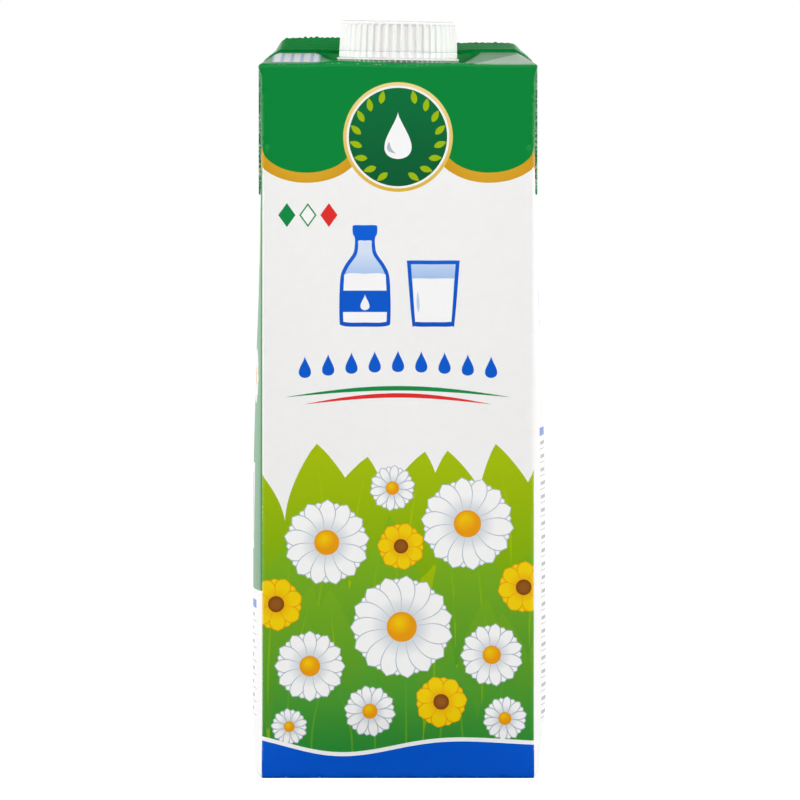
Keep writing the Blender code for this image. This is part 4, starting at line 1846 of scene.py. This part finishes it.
    def build(self) -> bpy.types.Object:
        """Make the fin as one closed strip, its cut edge and ends of bare board.

        Returns:
            The piece.
        """
        lean = self.route()[2]
        count, wide = len(lean), len(self.section())
        pressed = 1.0 - np.clip(lean / self.lean_right, 0.0, 1.0)
        faces: list[tuple[int, ...]] = []
        slots: list[int] = []
        for at in range(count - 1):
            for corner in range(wide):
                a, b = at * wide + corner, at * wide + (corner + 1) % wide
                faces.append((a, a + wide, b + wide, b))
                slots.append(1 if corner in (self.top_steps - 1, self.top_steps) else 0)
        faces.append(tuple(range(wide)))
        faces.append(tuple(reversed(range((count - 1) * wide, count * wide))))
        slots += [1, 1]
        mesh = bpy.data.meshes.new("seal_fin")
        mesh.from_pydata((self.surface(pressed) * MM).tolist(), [], faces)
        for finish in (PrintedBoard(Ink.DEEP_GREEN), BoardCore()):
            mesh.materials.append(finish.material())
        mesh.polygons.foreach_set("material_index", np.array(slots, np.int32))
        note_on_mesh(mesh, "tone", "CORNER", np.full(len(mesh.loops), self.ink_tone))
        worn = np.zeros((count, wide))
        worn[:, [0, -2, -1]] = self.root_wear * pressed[:, None]
        note_on_mesh(mesh, "fold", "POINT", worn)
        return finished_piece(mesh, self.sharp_degrees)


@dataclass
class Closure:
    """The screw cap, its tamper band and the spout's flange, set on the front slope of the top."""

    shape: PackShape
    gap: float = 0.3
    lip: float = 0.27
    flange_ply: float = 0.8
    flange_radius: float = 16.35
    neck_radius: float = 13.3
    band_height: float = 1.4
    cap_height: float = 7.9
    radius_low: float = 15.78
    radius_top: float = 15.46
    rib_deep: float = 0.40
    ribs: int = 48
    flange_feet: int = 68
    rib_width: float = 0.30
    per_rib: int = 14
    edge: float = 0.75
    rib_end: float = 0.45
    foot_bevel: float = 0.12
    band_bore: float = 13.75
    band_over: float = 0.03
    dish: tuple[tuple[float, float], ...] = (
        (13.2, 0.0), (12.9, 0.05), (12.5, 0.16), (12.0, 0.18), (6.0, 0.2),
        (1.3, 0.2), (1.0, 0.24), (0.75, 0.36), (0.4, 0.4),
    )
    sharp_degrees: float = 40.0

    @property
    def band_foot(self) -> float:
        """Height of the tamper band over the board."""
        return self.gap + self.flange_ply + self.gap

    @property
    def cap_foot(self) -> float:
        """Height of the screw cap over the board."""
        return self.band_foot + self.band_height + self.gap

    def seat(self) -> Matrix:
        """The spout's place on the pack, in metres.

        Returns:
            The matrix from the spout's own frame.
        """
        s = self.shape
        place = Matrix.Translation((0, s.seat_y * MM, s.seat_height * MM))
        return place @ Matrix.Rotation(s.cap_roll, 4, "Y")

    def rib_wave(self, angle: np.ndarray, ribs: int) -> np.ndarray:
        """1 on a rib's crest and 0 between ribs, with rounded flanks.

        Args:
            angle: Angles round the closure.
            ribs: How many ribs it has.

        Returns:
            The share at each angle.
        """
        phase = (angle * ribs / TURN) % 1.0
        away = np.abs(phase - 0.5) / (self.rib_width / 2)
        return 1.0 / (1.0 + away ** 6)

    def turned(self, name: str, rings: Sequence[tuple[float, float, float]],
               finish: MouldedPolyethylene, close_foot: bool = True, ribs: int = 0) -> bpy.types.Object:
        """Make a ribbed body of revolution.

        Args:
            name: The piece's name.
            rings: From foot to top and inwards: height, radius and share of the ribs' height.
            finish: What it is moulded of.
            close_foot: Whether the first ring is closed by a face; otherwise it joins the last.
            ribs: How many ribs it has, if not as many as the cap.

        Returns:
            The piece, on its seat.
        """
        ribs = ribs or self.ribs
        sides = ribs * self.per_rib
        angle = np.arange(sides) * TURN / sides
        hollow = self.rib_deep * (1.0 - self.rib_wave(angle, ribs))
        layers = []
        for height, radius, ribbed in rings:
            r = radius - ribbed * hollow
            layers.append(np.column_stack([r * np.cos(angle), r * np.sin(angle), np.full(sides, height)]))
        points = np.vstack(layers)
        faces: list[tuple[int, ...]] = []
        pairs = [(at, at + 1) for at in range(len(rings) - 1)]
        if not close_foot:
            pairs.append((len(rings) - 1, 0))
        for low, high in pairs:
            for corner in range(sides):
                here, there = low * sides + corner, low * sides + (corner + 1) % sides
                rise = (high - low) * sides
                faces.append((here, there, there + rise, here + rise))
        if close_foot:
            faces.append(tuple(reversed(range(sides))))
            faces.append(tuple(range((len(rings) - 1) * sides, len(rings) * sides)))
        mesh = bpy.data.meshes.new(name)
        mesh.from_pydata((points * MM).tolist(), [], faces)
        mesh.materials.append(finish.material())
        mesh.transform(self.seat())
        return finished_piece(mesh, self.sharp_degrees)

    def cap(self) -> bpy.types.Object:
        """The screw cap: ribs up its wall, a rounded edge and a shallow dish in its top.

        Returns:
            The piece.
        """
        foot, high = self.cap_foot - self.lip, self.cap_foot + self.cap_height
        slope = (self.radius_top - self.radius_low) / self.cap_height
        bevel = self.foot_bevel
        rings = [(foot, self.radius_low - bevel, 1.0), (foot + bevel, self.radius_low, 1.0)]
        wall_top = high - self.edge - self.rib_end
        for share in np.linspace(0.15, 1.0, 7):
            height = foot + share * (wall_top - foot)
            rings.append((height, self.radius_low + slope * (height - foot), 1.0))
        for step, ribbed in zip(np.linspace(0.25, 1.0, 4), (0.86, 0.55, 0.22, 0.0)):
            height = wall_top + self.rib_end * step
            rings.append((height, self.radius_low + slope * (height - foot) - 0.15 * step ** 2, ribbed))
        centre = rings[-1][1] - self.edge
        for angle in np.linspace(0, math.pi / 2, 9)[1:]:
            height = high - self.edge + self.edge * math.sin(angle)
            rings.append((height, centre + self.edge * math.cos(angle), 0.0))
        for radius, deep in self.dish:
            rings.append((high - deep, radius, 0.0))
        return self.turned("ribbed_screw_cap", rings, MouldedPolyethylene("moulded_cap_polyethylene"))

    def band(self) -> bpy.types.Object:
        """The tamper band: a ribbed ring round the neck, its foot rolled in.

        Returns:
            The piece.
        """
        foot, high = self.band_foot - self.lip, self.band_foot + self.band_height
        radius, bore = self.radius_low + self.band_over, self.band_bore
        rings = [
            (foot + 0.1, bore, 0.0), (foot, bore + 0.25, 0.0), (foot, radius - 0.35, 0.6),
            (foot + self.foot_bevel, radius - 0.06, 1.0), (foot + 0.4, radius, 1.0),
            (high - 0.25, radius, 1.0), (high - 0.08, radius - 0.06, 1.0),
            (high, radius - 0.2, 1.0), (high, bore, 0.0),
        ]
        finish = MouldedPolyethylene("moulded_band_polyethylene")
        return self.turned("ribbed_tamper_band", rings, finish, close_foot=False)

    def flange(self) -> bpy.types.Object:
        """The spout: a thin flange on the board, toothed under its rim, and the neck's stub.

        Returns:
            The piece.
        """
        low, high = self.gap, self.gap + self.flange_ply
        rim, neck = self.flange_radius, self.neck_radius
        rings = [
            (low - self.lip, rim - 0.15, 2.0), (low + 0.28, rim - 0.15, 2.0), (low + 0.29, rim, 0.0),
            (high - 0.3, rim, 0.0), (high - 0.1, rim - 0.08, 0.0), (high, rim - 0.3, 0.0),
            (high, neck + 0.3, 0.0), (high + 0.2, neck, 0.0), (self.cap_foot - self.gap, neck, 0.0),
        ]
        finish = MouldedPolyethylene("moulded_spout_polyethylene", "#ebebe8")
        return self.turned("spout_with_flange", rings, finish, ribs=self.flange_feet)


@dataclass(frozen=True)
class SoftBox:
    """A soft box that faces the pack: its place and size in metres, and its power in watts."""

    name: str
    place: tuple[float, float, float]
    size: tuple[float, float]
    watts: float


@dataclass
class Studio:
    """The plain studio: pale floor, soft boxes, backdrop, and the camera of the photograph.

    The picture's sizes are in pixels, the sensor and the floor's gap in millimetres, and the rest
    in metres.
    """

    picture: int = 800
    pixels_per_mm: float = 3.753
    middle_column: float = 398.0
    base_row: float = 778.8
    distance: float = 3.3
    pitch: float = math.radians(1.8)
    sensor: float = 36.0
    floor_far: float = 14.0
    floor_near: float = 0.6
    floor_gap: float = 0.05
    light_aim: float = 0.1
    boxes: tuple[SoftBox, ...] = (
        SoftBox("left_softbox", (-1.7, -0.6, 0.4), (0.9, 1.5), 28.0),
        SoftBox("right_softbox", (1.7, -0.6, 0.4), (0.9, 1.5), 28.0),
        SoftBox("front_softbox", (0.0, -1.6, 1.0), (1.6, 0.8), 22.3),
        SoftBox("top_softbox", (0.0, 0.1, 1.7), (1.2, 1.2), 2.0),
    )

    def camera(self, shape: PackShape) -> None:
        """Set up the camera far off, a little above the pack, looking at its front.

        Args:
            shape: The pack's sizes.
        """
        span = self.picture / self.pixels_per_mm * MM
        half = self.picture / 2
        aim = Vector((
            (half - self.middle_column) / self.pixels_per_mm * MM,
            -shape.half_d * MM,
            (self.base_row - half) / self.pixels_per_mm * MM,
        ))
        data = bpy.data.cameras.new("camera")
        data.sensor_width = self.sensor
        data.lens = self.sensor * self.distance / span
        data.clip_start, data.clip_end = 0.1, 60.0
        camera = place_in_scene("camera", data)
        back = Vector((0.0, -math.cos(self.pitch), math.sin(self.pitch)))
        camera.location = aim + back * self.distance
        face_along(camera, -back)
        bpy.context.scene.camera = camera

    def lights(self) -> None:
        """Set up the soft boxes, which neither the camera nor the gloss shows."""
        for box_light in self.boxes:
            light = bpy.data.lights.new(box_light.name, "AREA")
            light.shape = "RECTANGLE"
            light.size, light.size_y = box_light.size
            light.energy = box_light.watts
            lamp = place_in_scene(box_light.name, light)
            lamp.location = box_light.place
            face_along(lamp, Vector((0.0, 0.0, self.light_aim)) - Vector(box_light.place))
            lamp.visible_camera = False
            lamp.visible_glossy = False

    def backdrop(self) -> None:
        """A world that is bright behind the pack and near the horizon, for the gloss to show."""
        world = bpy.data.worlds.new("studio")
        world.use_nodes = True
        tree = world.node_tree
        tree.nodes.clear()
        direction = add_node(tree, "ShaderNodeTexCoord").outputs["Generated"]
        axes = add_node(tree, "ShaderNodeSeparateXYZ", {}, {"Vector": direction})
        behind = add_node(tree, "ShaderNodeMapRange", {"interpolation_type": "SMOOTHSTEP"}, {
            "Value": axes.outputs["Y"], "From Min": -0.25, "From Max": 0.35,
            "To Min": 0.03, "To Max": 1.35,
        })
        off_level = add_node(tree, "ShaderNodeMath", {"operation": "ABSOLUTE"}, {0: axes.outputs["Z"]})
        ceiling = add_node(tree, "ShaderNodeMapRange", {"interpolation_type": "SMOOTHSTEP"}, {
            "Value": off_level.outputs[0], "From Min": 0.2, "From Max": 0.5,
            "To Min": 1.0, "To Max": 0.1,
        })
        strength = add_node(tree, "ShaderNodeMath", {"operation": "MULTIPLY"}, {
            0: behind.outputs["Result"], 1: ceiling.outputs["Result"],
        })
        background = add_node(tree, "ShaderNodeBackground", {}, {
            "Color": WHITE_LIGHT, "Strength": strength.outputs[0],
        })
        seen = add_node(tree, "ShaderNodeBackground", {}, {"Color": WHITE_LIGHT, "Strength": 1.0})
        path = add_node(tree, "ShaderNodeLightPath")
        mixed = add_node(tree, "ShaderNodeMixShader", {}, {
            0: path.outputs["Is Camera Ray"], 1: background.outputs[0], 2: seen.outputs[0],
        })
        output = tree.nodes.new("ShaderNodeOutputWorld")
        tree.links.new(mixed.outputs[0], output.inputs["Surface"])
        bpy.context.scene.world = world

    def floor(self) -> bpy.types.Object:
        """The pale floor: it runs far behind and is cut short in front, and lights nothing.

        Returns:
            The floor.
        """
        far, near = self.floor_far, self.floor_near
        mesh = bpy.data.meshes.new("floor")
        corners = [(-far, -near, 0), (far, -near, 0), (far, far, 0), (-far, far, 0)]
        mesh.from_pydata(corners, [], [(0, 1, 2, 3)])
        mesh.materials.append(StudioPaper().material())
        floor = place_in_scene("floor", mesh)
        floor.location.z = -self.floor_gap * MM
        floor.visible_glossy = False
        floor.visible_diffuse = False
        return floor

    def colours(self) -> None:
        """Show the colours as they are, so that the print keeps its inks' hues."""
        bpy.context.scene.view_settings.view_transform = "Standard"
        bpy.context.scene.view_settings.look = "None"


def dress(piece: bpy.types.Object, slot: str, *nodes: str) -> None:
    """Hang a piece on the pack's body, in place of the frame's nodes that it stands for.

    Args:
        piece: The finished piece.
        slot: The record's material slot; not used.
        nodes: The frame's nodes that it replaces.
    """
    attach(piece, "root")
    if nodes:
        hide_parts(*nodes)
    LOG.info("%s: %d faces", piece.name, len(piece.data.polygons))


def main() -> None:
    """Load the frame, build every piece round it and log its faces, and set up the camera and studio."""
    logging.basicConfig(level=logging.INFO, format="%(name)s: %(message)s")
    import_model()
    shape = PackShape()
    studio = Studio()
    studio.camera(shape)
    studio.colours()
    dress(BoardPack(shape).build(), "coated_board", "carton")
    dress(SealFin(shape).build(), "coated_board")
    closure = Closure(shape)
    dress(closure.flange(), "white_polyethylene", "spout_flange")
    dress(closure.band(), "white_polyethylene", "tamper_band")
    dress(closure.cap(), "white_polyethylene", "screw_cap")
    studio.floor()
    studio.lights()
    studio.backdrop()


if __name__ == "__main__":
    main()
